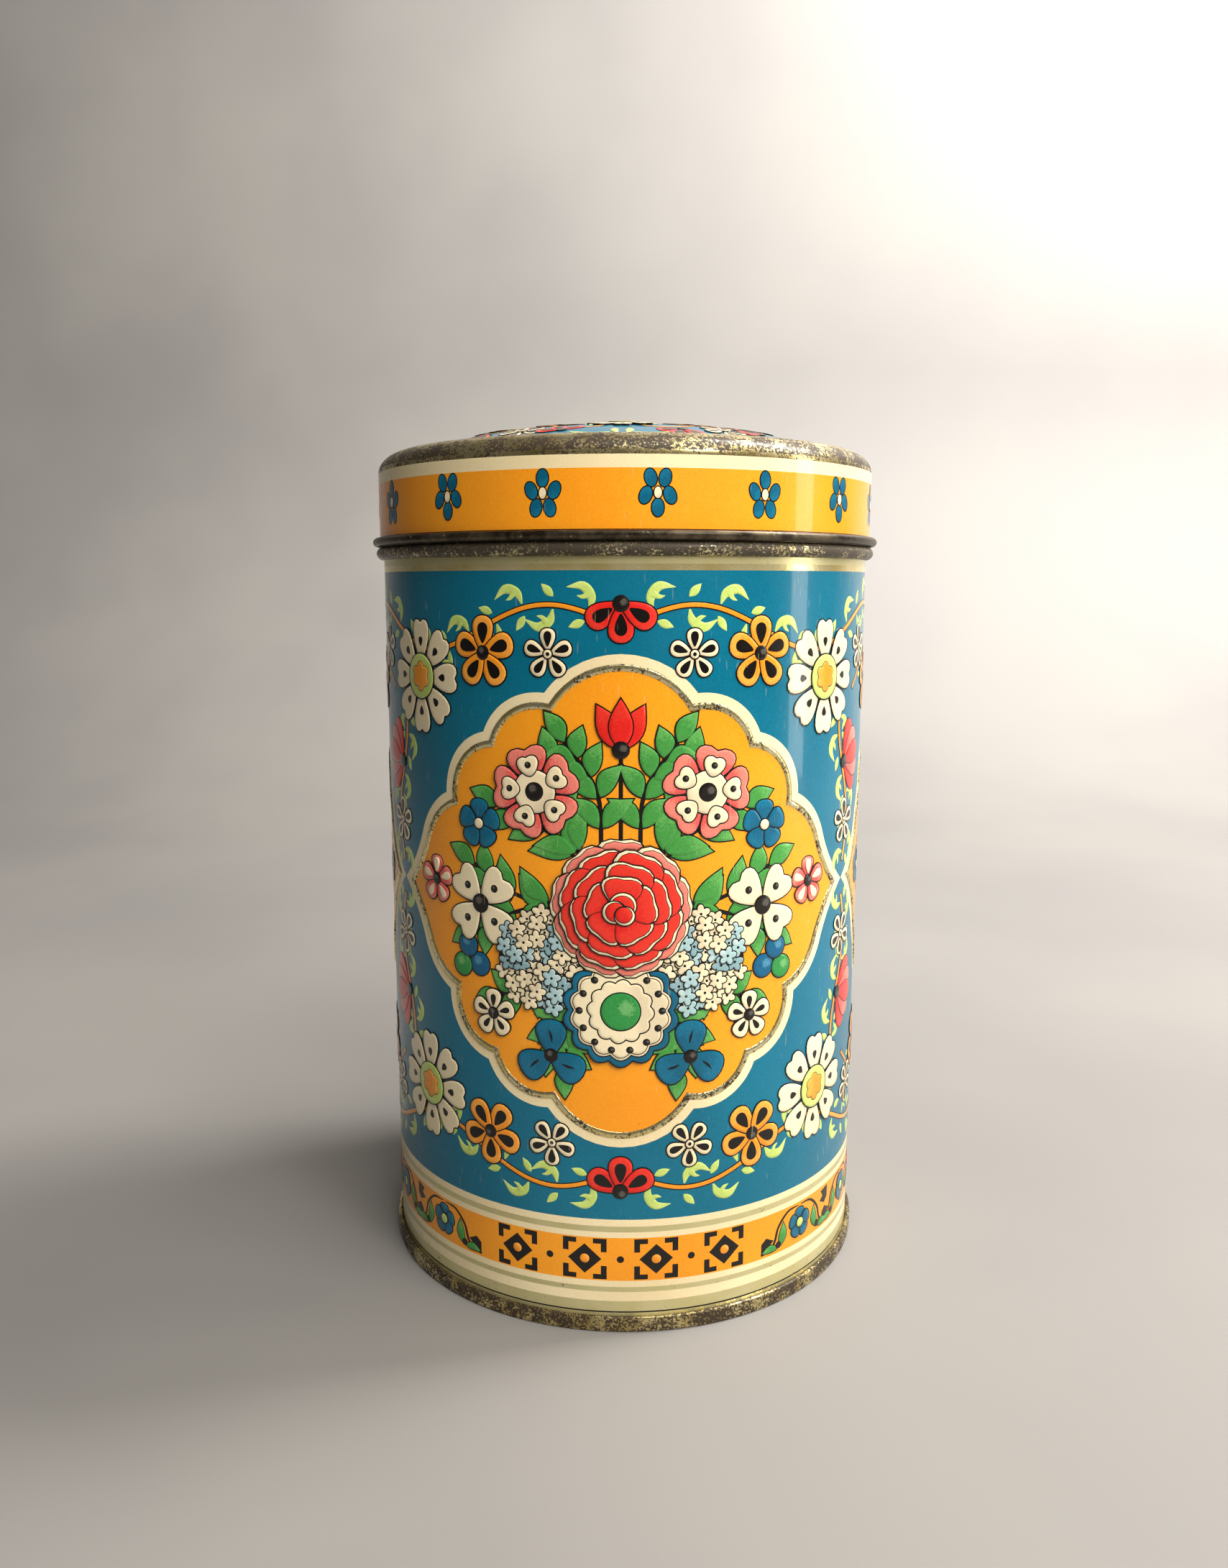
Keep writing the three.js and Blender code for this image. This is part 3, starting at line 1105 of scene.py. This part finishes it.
def lacquer(name, base, tint, tone=None, kind="plain", worn=0.5, gloss=0.3):
    """Stoving lacquer on tinplate: flat printed colour under a clear varnish.

    To the eye it is a dense, slightly cloudy colour with a fine grain, a soft gloss with a little
    orange peel, hairline scratches, and pinpoint chips where the dark metal shows. On a leaf or a
    petal a tone is the printer's second colour, laid on in fine dots towards its tip, or towards its
    foot on a cream petal. On a ball the tone is a painted highlight: fine lighter dots round a spot
    towards the ball's tip.
    """
    material, tree, place = new_material(name)
    clouds = between(tree, noise(tree, place, 26.0, 3.0, 0.6), 0.3, 0.7)
    printed = blended(tree, maths(tree, "MULTIPLY", clouds, 0.55), colour(base), colour(tint))
    grain = noise(tree, place, 0.32, 1.0)  # litho grain, drawn coarser than real so that it shows
    if tone:
        uv = add(tree, "ShaderNodeUVMap", uv_map="ink").outputs["UV"]
        split = add(tree, "ShaderNodeSeparateXYZ", {"Vector": uv}).outputs
        # a ball's tone is a painted highlight, lighter round a spot near the ball's tip
        if kind == "ball":
            ends = {0: uv, 1: (0.68, -0.05, 0)}
            away = add(tree, "ShaderNodeVectorMath", ends, operation="DISTANCE").outputs["Value"]
            share = between(tree, away, 0.34, 0.02)
        elif kind == "throat":
            share = between(tree, split["X"], 0.5, 0.0)
        else:
            share = between(tree, split["X"], 0.2, 1.1)
        # fine dots of the tone: printed on leaves and petals, a painted highlight on balls
        tone_and_highlight_dots = between(tree, maths(tree, "ADD", share, maths(tree, "MULTIPLY", grain, 0.9)), 0.6, 1.25)
        printed = blended(tree, maths(tree, "MULTIPLY", tone_and_highlight_dots, 0.5), printed, colour(tone))
    fleck = between(tree, grain, 0.34, 0.66)
    printed = blended(tree, 0.1, printed, blended(tree, fleck, (0, 0, 0, 1), (1, 1, 1, 1)), "SOFT_LIGHT")
    yellowed = between(tree, noise(tree, place, 60.0, 2.0), 0.42, 0.7)
    printed = blended(tree, maths(tree, "MULTIPLY", yellowed, 0.16), printed, colour("#8A6A38"), "MULTIPLY")
    patches = between(tree, noise(tree, place, 15.0), 0.48, 0.72)
    pinpricks = between(tree, noise(tree, place, 0.75, 2.0, 0.6), 0.745, 0.77)
    chips = maths(tree, "MULTIPLY", maths(tree, "MULTIPLY", pinpricks, patches), worn)
    lines = scratches(tree, place, 0.5, 0.28)
    printed = blended(tree, maths(tree, "MULTIPLY", lines, 0.35 * worn), printed, colour("#D8CCA8"))
    printed = blended(tree, chips, printed, colour("#4A3B26"))
    smears = noise(tree, place, 9.0, 4.0, 0.6)
    rough = between(tree, smears, 0.25, 0.75, gloss - 0.07, gloss + 0.09)
    rough = maths(tree, "ADD", rough, maths(tree, "MULTIPLY", lines, 0.2))
    waviness = maths(tree, "MULTIPLY", noise(tree, place, 13.0, 1.0), 3.0)
    peel = maths(tree, "ADD", noise(tree, place, 1.6, 1.0), waviness)
    peel = maths(tree, "SUBTRACT", peel, maths(tree, "MULTIPLY", chips, 1.2))
    surface(tree, printed, rough, (peel, 0.006), coat=0.45, coat_roughness=0.06, specular=0.22)
    return material


def gold_lacquer(name, base, dark, bare, wear, roughness=0.32, mirror=0.95):
    """Gold lacquer over tinplate, worn.

    A clear amber lacquer makes tin look like brass. It mirrors broadly, with a drawn grain round
    the tin. Where hands and the lid rub it, it breaks into dark tarnish with bright flecks of tin.
    wear is the share of the surface that has gone dark.
    """
    material, tree, place = new_material(name)
    clouds = noise(tree, place, 7.0, 3.0, 0.6)
    shine = blended(tree, between(tree, clouds, 0.3, 0.7), colour(base), colour(bare))
    speckle = noise(tree, place, 0.5, 4.0, 0.72)
    big = noise(tree, place, 5.0, 3.0, 0.7)
    both = maths(tree, "ADD", maths(tree, "MULTIPLY", speckle, 0.62), maths(tree, "MULTIPLY", big, 0.38))
    edge = 0.5 + (wear - 0.5) * 0.34
    tarnish = between(tree, both, edge + 0.025, edge - 0.025)
    shown = blended(tree, tarnish, shine, colour(dark))
    rough = between(tree, tarnish, 0.0, 1.0, roughness, 0.62)
    metal = between(tree, tarnish, 0.0, 1.0, mirror, 0.35)
    rise = maths(tree, "SUBTRACT", noise(tree, place, 0.9, 2.0), maths(tree, "MULTIPLY", tarnish, 0.6))
    surface(tree, shown, rough, (rise, 0.015), metallic=metal, coat=0.25, coat_roughness=0.2)
    return material


def tarnished_steel(name):
    """Bare rolled steel edge, dark with handling: brown-black with a dull shine, rubbed bright along
    the outermost line, with rust freckles."""
    material, tree, place = new_material(name)
    clouds = noise(tree, place, 4.0, 4.0, 0.65)
    shown = blended(tree, between(tree, clouds, 0.35, 0.7), colour("#3A332A"), colour("#6E6350"))
    freckles = between(tree, noise(tree, place, 0.7, 3.0, 0.7), 0.6, 0.68)
    shown = blended(tree, maths(tree, "MULTIPLY", freckles, 0.6), shown, colour("#5A3A22"))
    bright = between(tree, noise(tree, place, 1.1, 4.0, 0.7), 0.62, 0.7)
    shown = blended(tree, bright, shown, colour("#B3A88A"))
    rough = between(tree, clouds, 0.3, 0.7, 0.28, 0.5)
    metal = between(tree, freckles, 0.0, 1.0, 0.9, 0.4)
    surface(tree, shown, rough, (noise(tree, place, 0.8, 3.0), 0.02), metallic=metal)
    return material


def plain_tinplate(name):
    """Bright tinplate inside the tin: pale grey with a faint crystal bloom and a soft broad shine,
    browned in patches by the tea that was kept in it."""
    material, tree, place = new_material(name)
    crystals = add(tree, "ShaderNodeTexVoronoi", {"Vector": place, "Scale": per_mm(3.0)}).outputs["Color"]
    grey = add(tree, "ShaderNodeSeparateXYZ", {"Vector": crystals}).outputs["X"]
    shown = blended(tree, between(tree, grey, 0.0, 1.0), colour("#A29C8A"), colour("#B8B29E"))
    stain = between(tree, noise(tree, place, 18.0, 4.0, 0.6), 0.48, 0.75)
    shown = blended(tree, maths(tree, "MULTIPLY", stain, 0.55), shown, colour("#7A6444"))
    rough = between(tree, noise(tree, place, 6.0, 3.0), 0.3, 0.7, 0.28, 0.42)
    surface(tree, shown, rough, (noise(tree, place, 2.0, 2.0), 0.01), metallic=0.92)
    return material


LACQUERS = {
    #     name: colour, cloudier tint, printed tone and how the tone lies on a shape, where a ball's
    #     tone is a painted highlight; the grounds take their colour from the panel
    "blue": ("#065C7A", "#045470", "#137292", "tip"),
    "ground_blue": (None, "#02607B", None, "plain"),
    "orange": ("#EE9424", "#E58A1E", "#F6B050", "tip"),
    "ground_orange": (None, "#EC9218", None, "plain"),
    "cream": ("#EBDDB8", "#E3D2A9", "#C3B496", "throat"),
    "ground_cream": (None, "#E2CF9F", None, "plain"),
    "red": ("#D8241C", "#CE1F18", "#E2402E", "tip"),
    "pink": ("#D9564F", "#CF4B46", "#EE9A84", "tip"),
    "green": ("#42903F", "#39853A", "#6FB25F", "tip"),
    "lime": ("#BDD270", "#AFC864", "#CFE085", "tip"),
    "pale": ("#A3C2C4", "#97B8BB", "#CFDAD2", "tip"),
    "grey_blue": ("#86A9B0", "#729398", "#A7BBB9", "tip"),
    "black": ("#100D0B", "#16120F", None, "plain"),
    # the balls' tone colours are painted highlights
    "black_ball": ("#15110E", "#1B1612", "#6E6A62", "ball"),
    "green_ball": ("#2F8B42", "#29803C", "#86C27C", "ball"),
    "blue_ball": ("#085A80", "#065274", "#5FA3BE", "ball"),
    "cream_ball": ("#E4D5B0", "#D9C89E", "#F6EEDB", "ball"),
}


def finishes():
    """Every material of the tin by its name, made once."""
    if "finish_blue" in bpy.data.materials:
        return {m.name[7:]: m for m in bpy.data.materials if m.name.startswith("finish_")}
    chosen = bpy.context.scene.tea_tin_colours
    for name, (base, tint, tone, kind) in LACQUERS.items():
        lacquer("finish_" + name, base or getattr(chosen, name[7:]), tint, tone, kind)
    gold_lacquer("finish_gold_band", chosen.gold, "#5B5236", "#D8CF9C", 0.12, 0.3, 0.6)
    gold_lacquer("finish_bright_gold", "#DCC77C", "#5B5236", "#F0E2AC", 0.04, 0.2, 0.75)
    gold_lacquer("finish_worn_ridge", "#E2CE84", "#3A3020", "#F4E8B8", 0.4, 0.24)
    gold_lacquer("finish_worn_bead", "#CDBA7C", "#4A4236", "#EADCB0", 0.66, 0.3)
    gold_lacquer("finish_worn_seam", "#C0A966", "#3E3222", "#DCCB94", 0.57, 0.3)
    gold_lacquer("finish_worn_shoulder", "#BBA462", "#3C3222", "#E4D29C", 0.45, 0.28)
    gold_lacquer("finish_worn_crest", "#C2AC6A", "#41372A", "#E0D09A", 0.62, 0.3)
    tarnished_steel("finish_tarnished_steel")
    plain_tinplate("finish_plain_tinplate")
    return finishes()


# ---------------------------------------------------------------- operators


class Build:
    """What the operators share: each makes its pieces and says which it has made."""

    bl_options = {"REGISTER", "UNDO"}

    def execute(self, context):
        made = self.build(context.scene.tea_tin_sizes, finishes())
        self.report({"INFO"}, f"{len(made)} pieces")
        return {"FINISHED"}


WALL_BANDS = (  # height of each band's upper edge on the wall, and its finish
    (3.5, "gold_band"),
    (3.8, "black"),
    (5.88, "gold_band"),
    (7.76, "ground_cream"),
    (8.78, "gold_band"),
    (10.05, "ground_cream"),
    (18.76, "ground_orange"),
    (19.91, "ground_cream"),
    (21.07, "gold_band"),
    (22.46, "ground_cream"),
    (142.48, "ground_blue"),
    (143.6, "bright_gold"),
    (144.85, "gold_band"),
    (147.6, "worn_bead"),
)


def band_at(bands, z):
    return next((name for top, name in bands if z < top), "plain_tinplate")


class TEATIN_OT_wall(Build, bpy.types.Operator):
    """Turn the wall: hooked foot, stop bead and rolled mouth, with its printed ground bands"""

    bl_idname = "teatin.wall"
    bl_label = "Wall"

    def build(self, sizes, finish_of):
        half = sizes.sheet / 2
        pitch = sizes.sheet + SEAM_GAP
        r = sizes.wall_radius - half
        hook_z = sizes.sheet + SEAM_GAP + half + pitch
        bead_half = BEAD_HALF_HEIGHT - half
        path = [(r + 2 * pitch, sizes.seam_top - 2 * half - pitch - SEAM_GAP)]
        path += rounded(r + pitch, hook_z, pitch, pitch, 0, -180, 10)
        path += [(r, top) for top, _ in WALL_BANDS[:-2]]
        path += rounded(r, sizes.bead_middle, sizes.bead_depth, bead_half, -90, 90, 16)
        curl_z = sizes.mouth_top - half - MOUTH_CURL
        path += rounded(r - MOUTH_CURL, curl_z, MOUTH_CURL, MOUTH_CURL, 0, 270, 18)
        shell = spun("wall", path, sizes.sheet)
        for name in [*dict.fromkeys(name for _, name in WALL_BANDS), "plain_tinplate"]:
            shell.data.materials.append(finish_of[name])
        inside = r - 0.01
        paint_faces(
            shell,
            lambda radius, z, out, up: "finish_"
            + (band_at(WALL_BANDS, z) if out > 0.1 and radius > inside and z < 148 else "plain_tinplate"),
        )
        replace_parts(finish(shell, "can", "printed_wall"), "body_shell")
        return [shell]


class TEATIN_OT_lock_seam(Build, bpy.types.Operator):
    """Fold the lock seam that closes the wall at the back, inside the tin"""

    bl_idname = "teatin.lock_seam"
    bl_label = "Lock seam"

    def build(self, sizes, finish_of):
        r = sizes.wall_radius - sizes.sheet
        bpy.ops.object.select_all(action="DESELECT")
        low, high = LOCK_SEAM_REACH
        bpy.ops.mesh.primitive_cube_add(size=1, location=(0, (r - 0.3) * MM, (low + high) / 2 * MM))
        fold = bpy.context.active_object
        fold.name = fold.data.name = "lock_seam"
        fold.scale = (5 * MM, 0.9 * MM, (high - low) * MM)
        bpy.ops.object.transform_apply(location=True, rotation=False, scale=True)
        fold.rotation_euler[2] = -LOCK_SEAM_TURN
        bpy.ops.object.transform_apply(location=False, rotation=True, scale=False)
        edit(fold)
        bpy.ops.mesh.bevel(offset=0.25 * MM, segments=3)
        close_edit()
        select_only(fold)
        bpy.ops.object.shade_smooth_by_angle(angle=math.radians(40))
        made = [finish(fold, "can", "bare_tinplate", finish_of["plain_tinplate"])]
        # outside, the seam shows as a hair of bare metal where the two edges of the print meet
        middle = sizes.wall_radius * (math.pi - LOCK_SEAM_TURN)
        strip = [complex(middle + x, z) for x, z in ((-0.16, 4), (0.16, 4), (0.16, 144.6), (-0.16, 144.6))]
        line = films("seam_line", [("gold", strip, SEAM_LINE_FILMS)], sizes.wall_radius, "gold")
        shade_round(line, wall_frame)
        return [*made, finish(line, "can", "printed_wall", finish_of["worn_ridge"])]


class TEATIN_OT_base(Build, bpy.types.Operator):
    """Turn the base: recessed panel with a ring, and the double seam that grips the wall's foot"""

    bl_idname = "teatin.base"
    bl_label = "Base"

    def build(self, sizes, finish_of):
        half = sizes.sheet / 2
        pitch = sizes.sheet + SEAM_GAP
        inner = sizes.wall_radius - half - pitch
        hook = inner + 2 * pitch
        outer = inner + 4 * pitch
        panel = BASE_PANEL_Z + half
        path = [(hook, sizes.sheet + 2 * SEAM_GAP + 2 * pitch)]
        path += rounded(hook + pitch, sizes.seam_top - half - pitch, pitch, pitch, 180, 0, 12)
        path += rounded(outer - 0.3, half + 0.3, 0.3, 0.3, 0, -90, 5)
        path += rounded(inner + 0.3, half + 0.3, 0.3, 0.3, -90, -180, 5)
        path += rounded(inner - 0.6, panel - 0.6, 0.6, 0.6, 0, 90, 6)
        for step in range(13):  # the stiffening ring pressed into the panel
            share = step / 12
            path.append((40.4 - 4.8 * share, panel + 0.35 * (1 - math.cos(2 * math.pi * share))))
        path += [(20, panel), (6, panel), (0, panel)]
        shell = spun("base", path, sizes.sheet)
        for name in ("worn_seam", "plain_tinplate"):
            shell.data.materials.append(finish_of[name])
        paint_faces(shell, lambda r, z, out, up: "finish_" + ("worn_seam" if r > 49.9 else "plain_tinplate"))
        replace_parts(finish(shell, "can", "bare_tinplate"), "base_end")
        return [shell]


def dome_height(r):
    """Height of the domed top's outside over the tin's foot."""
    rise = bpy.context.scene.tea_tin_sizes.lid_top - DOME_EDGE_Z
    return DOME_EDGE_Z + rise * (1 - (r / DOME_R) ** DOME_POWER)


LID_EDGE_Z = 149.45  # where the dark rolled edge ends and the skirt's print starts
SKIRT_PRINT_TOP = 159.61
LID_BANDS = (
    (LID_EDGE_Z, "tarnished_steel"),
    (SKIRT_PRINT_TOP, "ground_orange"),
    (SHOULDER_Z, "ground_cream"),
)
DOME_STEPS = 30


class TEATIN_OT_lid(Build, bpy.types.Operator):
    """Turn the lid: rolled edge, skirt, rounded shoulder, crest and domed top"""

    bl_idname = "teatin.lid"
    bl_label = "Lid"

    def build(self, sizes, finish_of):
        half = sizes.sheet / 2
        r = sizes.lid_radius - half
        curl_z = sizes.lid_foot + half + LID_CURL
        path = rounded(r + LID_CURL, curl_z, LID_CURL, LID_CURL, 95, -180, 22)
        path += [(r, LID_EDGE_Z), (r, 155), (r, SKIRT_PRINT_TOP), (r, 161.4)]
        path += rounded(RIM_R, SHOULDER_Z - half, r - RIM_R, RIM_Z - SHOULDER_Z, 0, 90, 16)
        path += [(RIM_R - 0.5, RIM_Z - half - 0.08), (DOME_R + 0.9, DOME_EDGE_Z - half - 0.1)]
        for step in range(DOME_STEPS + 1):
            radius = DOME_R * (1 - step / DOME_STEPS)
            path.append((radius, dome_height(radius) - half))
        shell = spun("lid", path, sizes.sheet)
        names = [name for _, name in LID_BANDS]
        for name in [*names, "worn_crest", "worn_shoulder", "ground_blue", "plain_tinplate"]:
            shell.data.materials.append(finish_of[name])

        def finish_at(radius, z, out, up):
            on_skirt = radius > sizes.lid_radius - 0.27 and z < SHOULDER_Z and out > 0.1
            if on_skirt or (z < LID_EDGE_Z and radius > 50.9):
                return "finish_" + band_at(LID_BANDS, z)
            if up < 0.05 or (radius > 44 and out < -0.4):
                return "finish_plain_tinplate"
            if radius < DOME_R - 0.1:
                return "finish_ground_blue"
            if radius < DOME_R + 0.8:
                return "finish_ground_cream"
            return "finish_worn_crest" if 162.6 < z < 165.0 else "finish_worn_shoulder"

        paint_faces(shell, finish_at)
        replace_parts(finish(shell, "lid", "printed_lid"), "lid_shell")
        return [shell]


def medallions():
    """Each medallion's outline as a function of how far it is moved out, round its place."""
    made = []
    for x, corners, bows in ((0, BIG_QUARTER, BIG_BOWS), (QUARTER_SPAN, SMALL_QUARTER, SMALL_BOWS)):
        at = complex(x, MIDDLE_Z)
        made.append(lambda out, at=at, corners=corners, bows=bows: moved(medallion(corners, bows, out), at))
    return made


RIDGE_SECTION = (  # how far outside the medallion's edge, and how high over the wall
    (0.08, -0.05),
    (0.14, 0.1),
    (0.34, 0.22),
    (0.74, 0.28),
    (1.14, 0.22),
    (1.36, 0.1),
    (1.42, -0.05),
)


class TEATIN_OT_ridges(Build, bpy.types.Operator):
    """Emboss the gold ridge round every medallion"""

    bl_idname = "teatin.ridges"
    bl_label = "Medallion ridges"

    def build(self, sizes, finish_of):
        places, faces = [], []
        for outline_at in medallions():
            rings = []
            for out, height in RIDGE_SECTION:
                ring = outline_at(out)
                rings.append(range(len(places), len(places) + len(ring)))
                places += [(p.real, p.imag, height) for p in ring]
            for inner, outer in zip(rings, rings[1:] + rings[:1]):
                count = len(inner)
                for i in range(count):
                    j = (i + 1) % count
                    faces.append((inner[i], outer[i], outer[j], inner[j]))
        mesh = bpy.data.meshes.new("medallion_ridges")
        mesh.from_pydata(places, [], faces)
        piece = bpy.data.objects.new("medallion_ridges", mesh)
        bpy.context.scene.collection.objects.link(piece)
        outlines = [outline_at(RIDGE_SECTION[-1][0]) for outline_at in medallions()]
        cut_across(piece, facet_cuts(outlines, sizes.wall_radius), 0)
        edit(piece)
        bpy.ops.mesh.normals_make_consistent(inside=False)
        close_edit()
        wrap(piece, sizes.wall_radius)
        turned_copies(piece, 2)
        select_only(piece)
        bpy.ops.object.shade_smooth_by_angle(angle=math.radians(50))
        return [finish(piece, "can", "printed_wall", finish_of["worn_ridge"])]


def wall_figures():
    """All that is printed on half of the wall."""
    figure = []
    for outline_at in medallions():
        figure += film("ground_cream", outline_at(3.1), 0) + film("ground_orange", outline_at(0.3), 1)
    figure += border() + bouquet() + small_bouquet(QUARTER_SPAN + 1j * MIDDLE_Z)
    return stacked(figure + base_band())


class TEATIN_OT_wall_print(Build, bpy.types.Operator):
    """Print the wall, one lacquer after another: medallions, bouquets, borders and foot band"""

    bl_idname = "teatin.wall_print"
    bl_label = "Wall print"

    def build(self, sizes, finish_of):
        figure = wall_figures()
        made = []
        for lacquer_name in dict.fromkeys(entry[0] for entry in figure):
            name = "wall_print_" + lacquer_name
            piece = films(name, figure, sizes.wall_radius, lacquer_name, 2, relief_of(lacquer_name))
            shade_round(piece, wall_frame)
            made.append(finish(piece, "can", "printed_wall", finish_of[lacquer_name]))
        return made


class TEATIN_OT_skirt_print(Build, bpy.types.Operator):
    """Print the sixteen blue flowers round the lid's skirt"""

    bl_idname = "teatin.skirt_print"
    bl_label = "Skirt flowers"

    def build(self, sizes, finish_of):
        figure = stacked(skirt_flowers())
        made = []
        for lacquer_name in dict.fromkeys(entry[0] for entry in figure):
            piece = films("skirt_print_" + lacquer_name, figure, sizes.lid_radius, lacquer_name)
            shade_round(piece, wall_frame)
            made.append(finish(piece, "lid", "printed_lid", finish_of[lacquer_name]))
        return made


class TEATIN_OT_dome_print(Build, bpy.types.Operator):
    """Print the wreath and the middle flower on the lid's domed top"""

    bl_idname = "teatin.dome_print"
    bl_label = "Dome print"

    def build(self, sizes, finish_of):
        figure = stacked(dome_print())
        made = []
        cuts = [DOME_CUT * k for k in range(-int(DOME_R / DOME_CUT), int(DOME_R / DOME_CUT) + 1)]
        for lacquer_name in dict.fromkeys(entry[0] for entry in figure):
            shapes = [entry for entry in figure if entry[0] == lacquer_name]
            name = "dome_print_" + lacquer_name
            piece = flat_sheet(name, shapes, lambda under: 0.04 + 0.02 * under, relief_of(lacquer_name))
            cut_across(piece, cuts, 0)
            cut_across(piece, cuts, 1)
            thicken_down(piece, 0.1)
            for vertex in piece.data.vertices:
                x, y, height = vertex.co
                vertex.co = Vector((x, y, dome_height(min(math.hypot(x, y), DOME_R)) + height)) * MM
            shade_round(piece, dome_frame)
            made.append(finish(piece, "lid", "printed_lid", finish_of[lacquer_name]))
        return made


def dome_frame(place):
    r = math.hypot(place.x, place.y) / MM
    rise = bpy.context.scene.tea_tin_sizes.lid_top - DOME_EDGE_Z
    slope = rise * DOME_POWER / DOME_R * (r / DOME_R) ** (DOME_POWER - 1)
    outward = radial(place) * slope
    return Vector((outward.x, outward.y, 1)).normalized(), Vector((1, 0, 0)), Vector((0, 1, 0))


class TEATIN_OT_stage(Build, bpy.types.Operator):
    """Set the pale floor and backdrop, the soft lights and the camera"""

    bl_idname = "teatin.stage"
    bl_label = "Stage"

    def build(self, sizes, finish_of):
        floor = sweep()
        window = area_light("window", (0.62, -0.06, 0.3), (0, 0, 0.1), (0.12, 0.7), 1.4, "#FFFAF2")
        glint = area_light("glint", (0.4, -0.52, 0.6), (0, 0, 0.1), (0.15, 0.15), 1.4, "#FFFFFF")
        key = area_light("soft_key", (0.45, -0.55, 0.62), (0, 0, 0.09), (0.85, 0.85), 12.5, "#FFF7EE")
        key.visible_glossy = False
        above = area_light("ceiling", (0.15, -0.35, 0.9), (0, 0, 0.08), (0.5, 0.35), 1.6, "#FFFFFF")
        wash = area_light("wall_wash", (0.6, 0.2, 0.85), (0.4, 0.9, 0.35), (0.7, 0.4), 31, "#FFFAF5")
        world = bpy.data.worlds.new("room_light")
        world.use_nodes = True
        world.node_tree.nodes["Background"].inputs["Color"].default_value = colour("#DAD8D6")
        world.node_tree.nodes["Background"].inputs["Strength"].default_value = 0.12
        bpy.context.scene.world = world
        bpy.context.scene.view_settings.view_transform = "Standard"
        return [floor, window, glint, key, above, wash, eye_level_camera()]


SWEEP_Y = 0.42  # how far behind the tin the paper starts to rise, in metres
SWEEP_FRONT = 2.0  # how far it lies in front
SWEEP_CURVE = 0.3  # radius of its bend
SWEEP_STEPS = 16


def sweep():
    """A pale sheet of paper that lies under the tin and curves up behind it."""
    bpy.ops.object.select_all(action="DESELECT")
    bpy.ops.mesh.primitive_plane_add(size=1, location=(0, (SWEEP_Y - SWEEP_FRONT) / 2, 0))
    floor = bpy.context.active_object
    floor.name = floor.data.name = "floor"
    floor.scale = (4, SWEEP_Y + SWEEP_FRONT, 1)
    bpy.ops.object.transform_apply(location=True, rotation=False, scale=True)
    edit(floor)
    bpy.ops.mesh.select_mode(type="EDGE")
    bpy.ops.mesh.select_all(action="DESELECT")
    close_edit()
    back = max(floor.data.edges, key=lambda e: sum(floor.data.vertices[v].co.y for v in e.vertices))
    back.select = True
    bpy.ops.object.mode_set(mode="EDIT")
    for i in range(SWEEP_STEPS):
        turn = math.radians(90 / SWEEP_STEPS * (i + 0.5))
        length = SWEEP_CURVE * math.pi / 2 / SWEEP_STEPS
        step = (0, length * math.cos(turn), length * math.sin(turn))
        bpy.ops.mesh.extrude_edges_move(TRANSFORM_OT_translate={"value": step})
    bpy.ops.mesh.extrude_edges_move(TRANSFORM_OT_translate={"value": (0, 0, 1.3)})
    bpy.ops.mesh.select_mode(type="VERT")
    bpy.ops.mesh.select_all(action="SELECT")
    bpy.ops.mesh.normals_make_consistent(inside=False)
    close_edit()
    floor.data.shade_smooth()
    material, tree, place = new_material("pale_paper")
    soft = noise(tree, place, 180.0, 3.0)
    shown = blended(tree, between(tree, soft, 0.3, 0.7), colour("#7D7B79"), colour("#85837F"))
    surface(tree, shown, between(tree, soft, 0.3, 0.7, 0.6, 0.7), (noise(tree, place, 1.5, 3.0), 0.02))
    floor.data.materials.append(material)
    return floor


def area_light(name, place, target, size, power, tint):
    bpy.ops.object.select_all(action="DESELECT")
    bpy.ops.object.light_add(type="AREA", location=place)
    lamp = bpy.context.active_object
    lamp.name = lamp.data.name = name
    lamp.data.shape = "RECTANGLE"
    lamp.data.size, lamp.data.size_y = size
    lamp.data.energy = power
    lamp.data.color = linear(tint)
    lamp.rotation_euler = (Vector(target) - Vector(place)).to_track_quat("-Z", "Y").to_euler()
    return lamp


def eye_level_camera():
    """A close view from a little above the tin's middle, tilted slightly down."""
    bpy.ops.object.select_all(action="DESELECT")
    bpy.ops.object.camera_add(location=(0.0031, -0.2648, 0.1400))
    camera = bpy.context.active_object
    camera.name = "camera"
    camera.rotation_euler = (math.radians(90 - 9.193), 0, math.radians(1.15))
    camera.data.sensor_width = 36
    camera.data.lens = 28.27
    camera.data.clip_start = 0.01
    bpy.context.scene.camera = camera
    return camera


class TEATIN_PT_panel(bpy.types.Panel):
    """The tea tin's sizes, colours and pieces"""

    bl_idname = "TEATIN_PT_panel"
    bl_label = "Tea tin"
    bl_space_type = "VIEW_3D"
    bl_region_type = "UI"
    bl_category = "Tea tin"

    def draw(self, context):
        for group in (context.scene.tea_tin_sizes, context.scene.tea_tin_colours):
            for name in group.bl_rna.properties.keys():
                if name not in ("rna_type", "name"):
                    self.layout.prop(group, name)
        for operator in OPERATORS:
            self.layout.operator(operator.bl_idname)


OPERATORS = (
    TEATIN_OT_stage,
    TEATIN_OT_wall,
    TEATIN_OT_lock_seam,
    TEATIN_OT_base,
    TEATIN_OT_lid,
    TEATIN_OT_ridges,
    TEATIN_OT_wall_print,
    TEATIN_OT_skirt_print,
    TEATIN_OT_dome_print,
)
GROUPS = {"tea_tin_sizes": TeaTinSizes, "tea_tin_colours": TeaTinColours}
CLASSES = (*GROUPS.values(), *OPERATORS, TEATIN_PT_panel)


def register():
    for each in CLASSES:
        bpy.utils.register_class(each)
    for name, group in GROUPS.items():
        setattr(bpy.types.Scene, name, PointerProperty(type=group))


def unregister():
    for name in GROUPS:
        delattr(bpy.types.Scene, name)
    for each in reversed(CLASSES):
        bpy.utils.unregister_class(each)


def main():
    register()
    for operator in OPERATORS:
        group, name = operator.bl_idname.split(".")
        getattr(getattr(bpy.ops, group), name)()


if __name__ == "__main__":
    main()
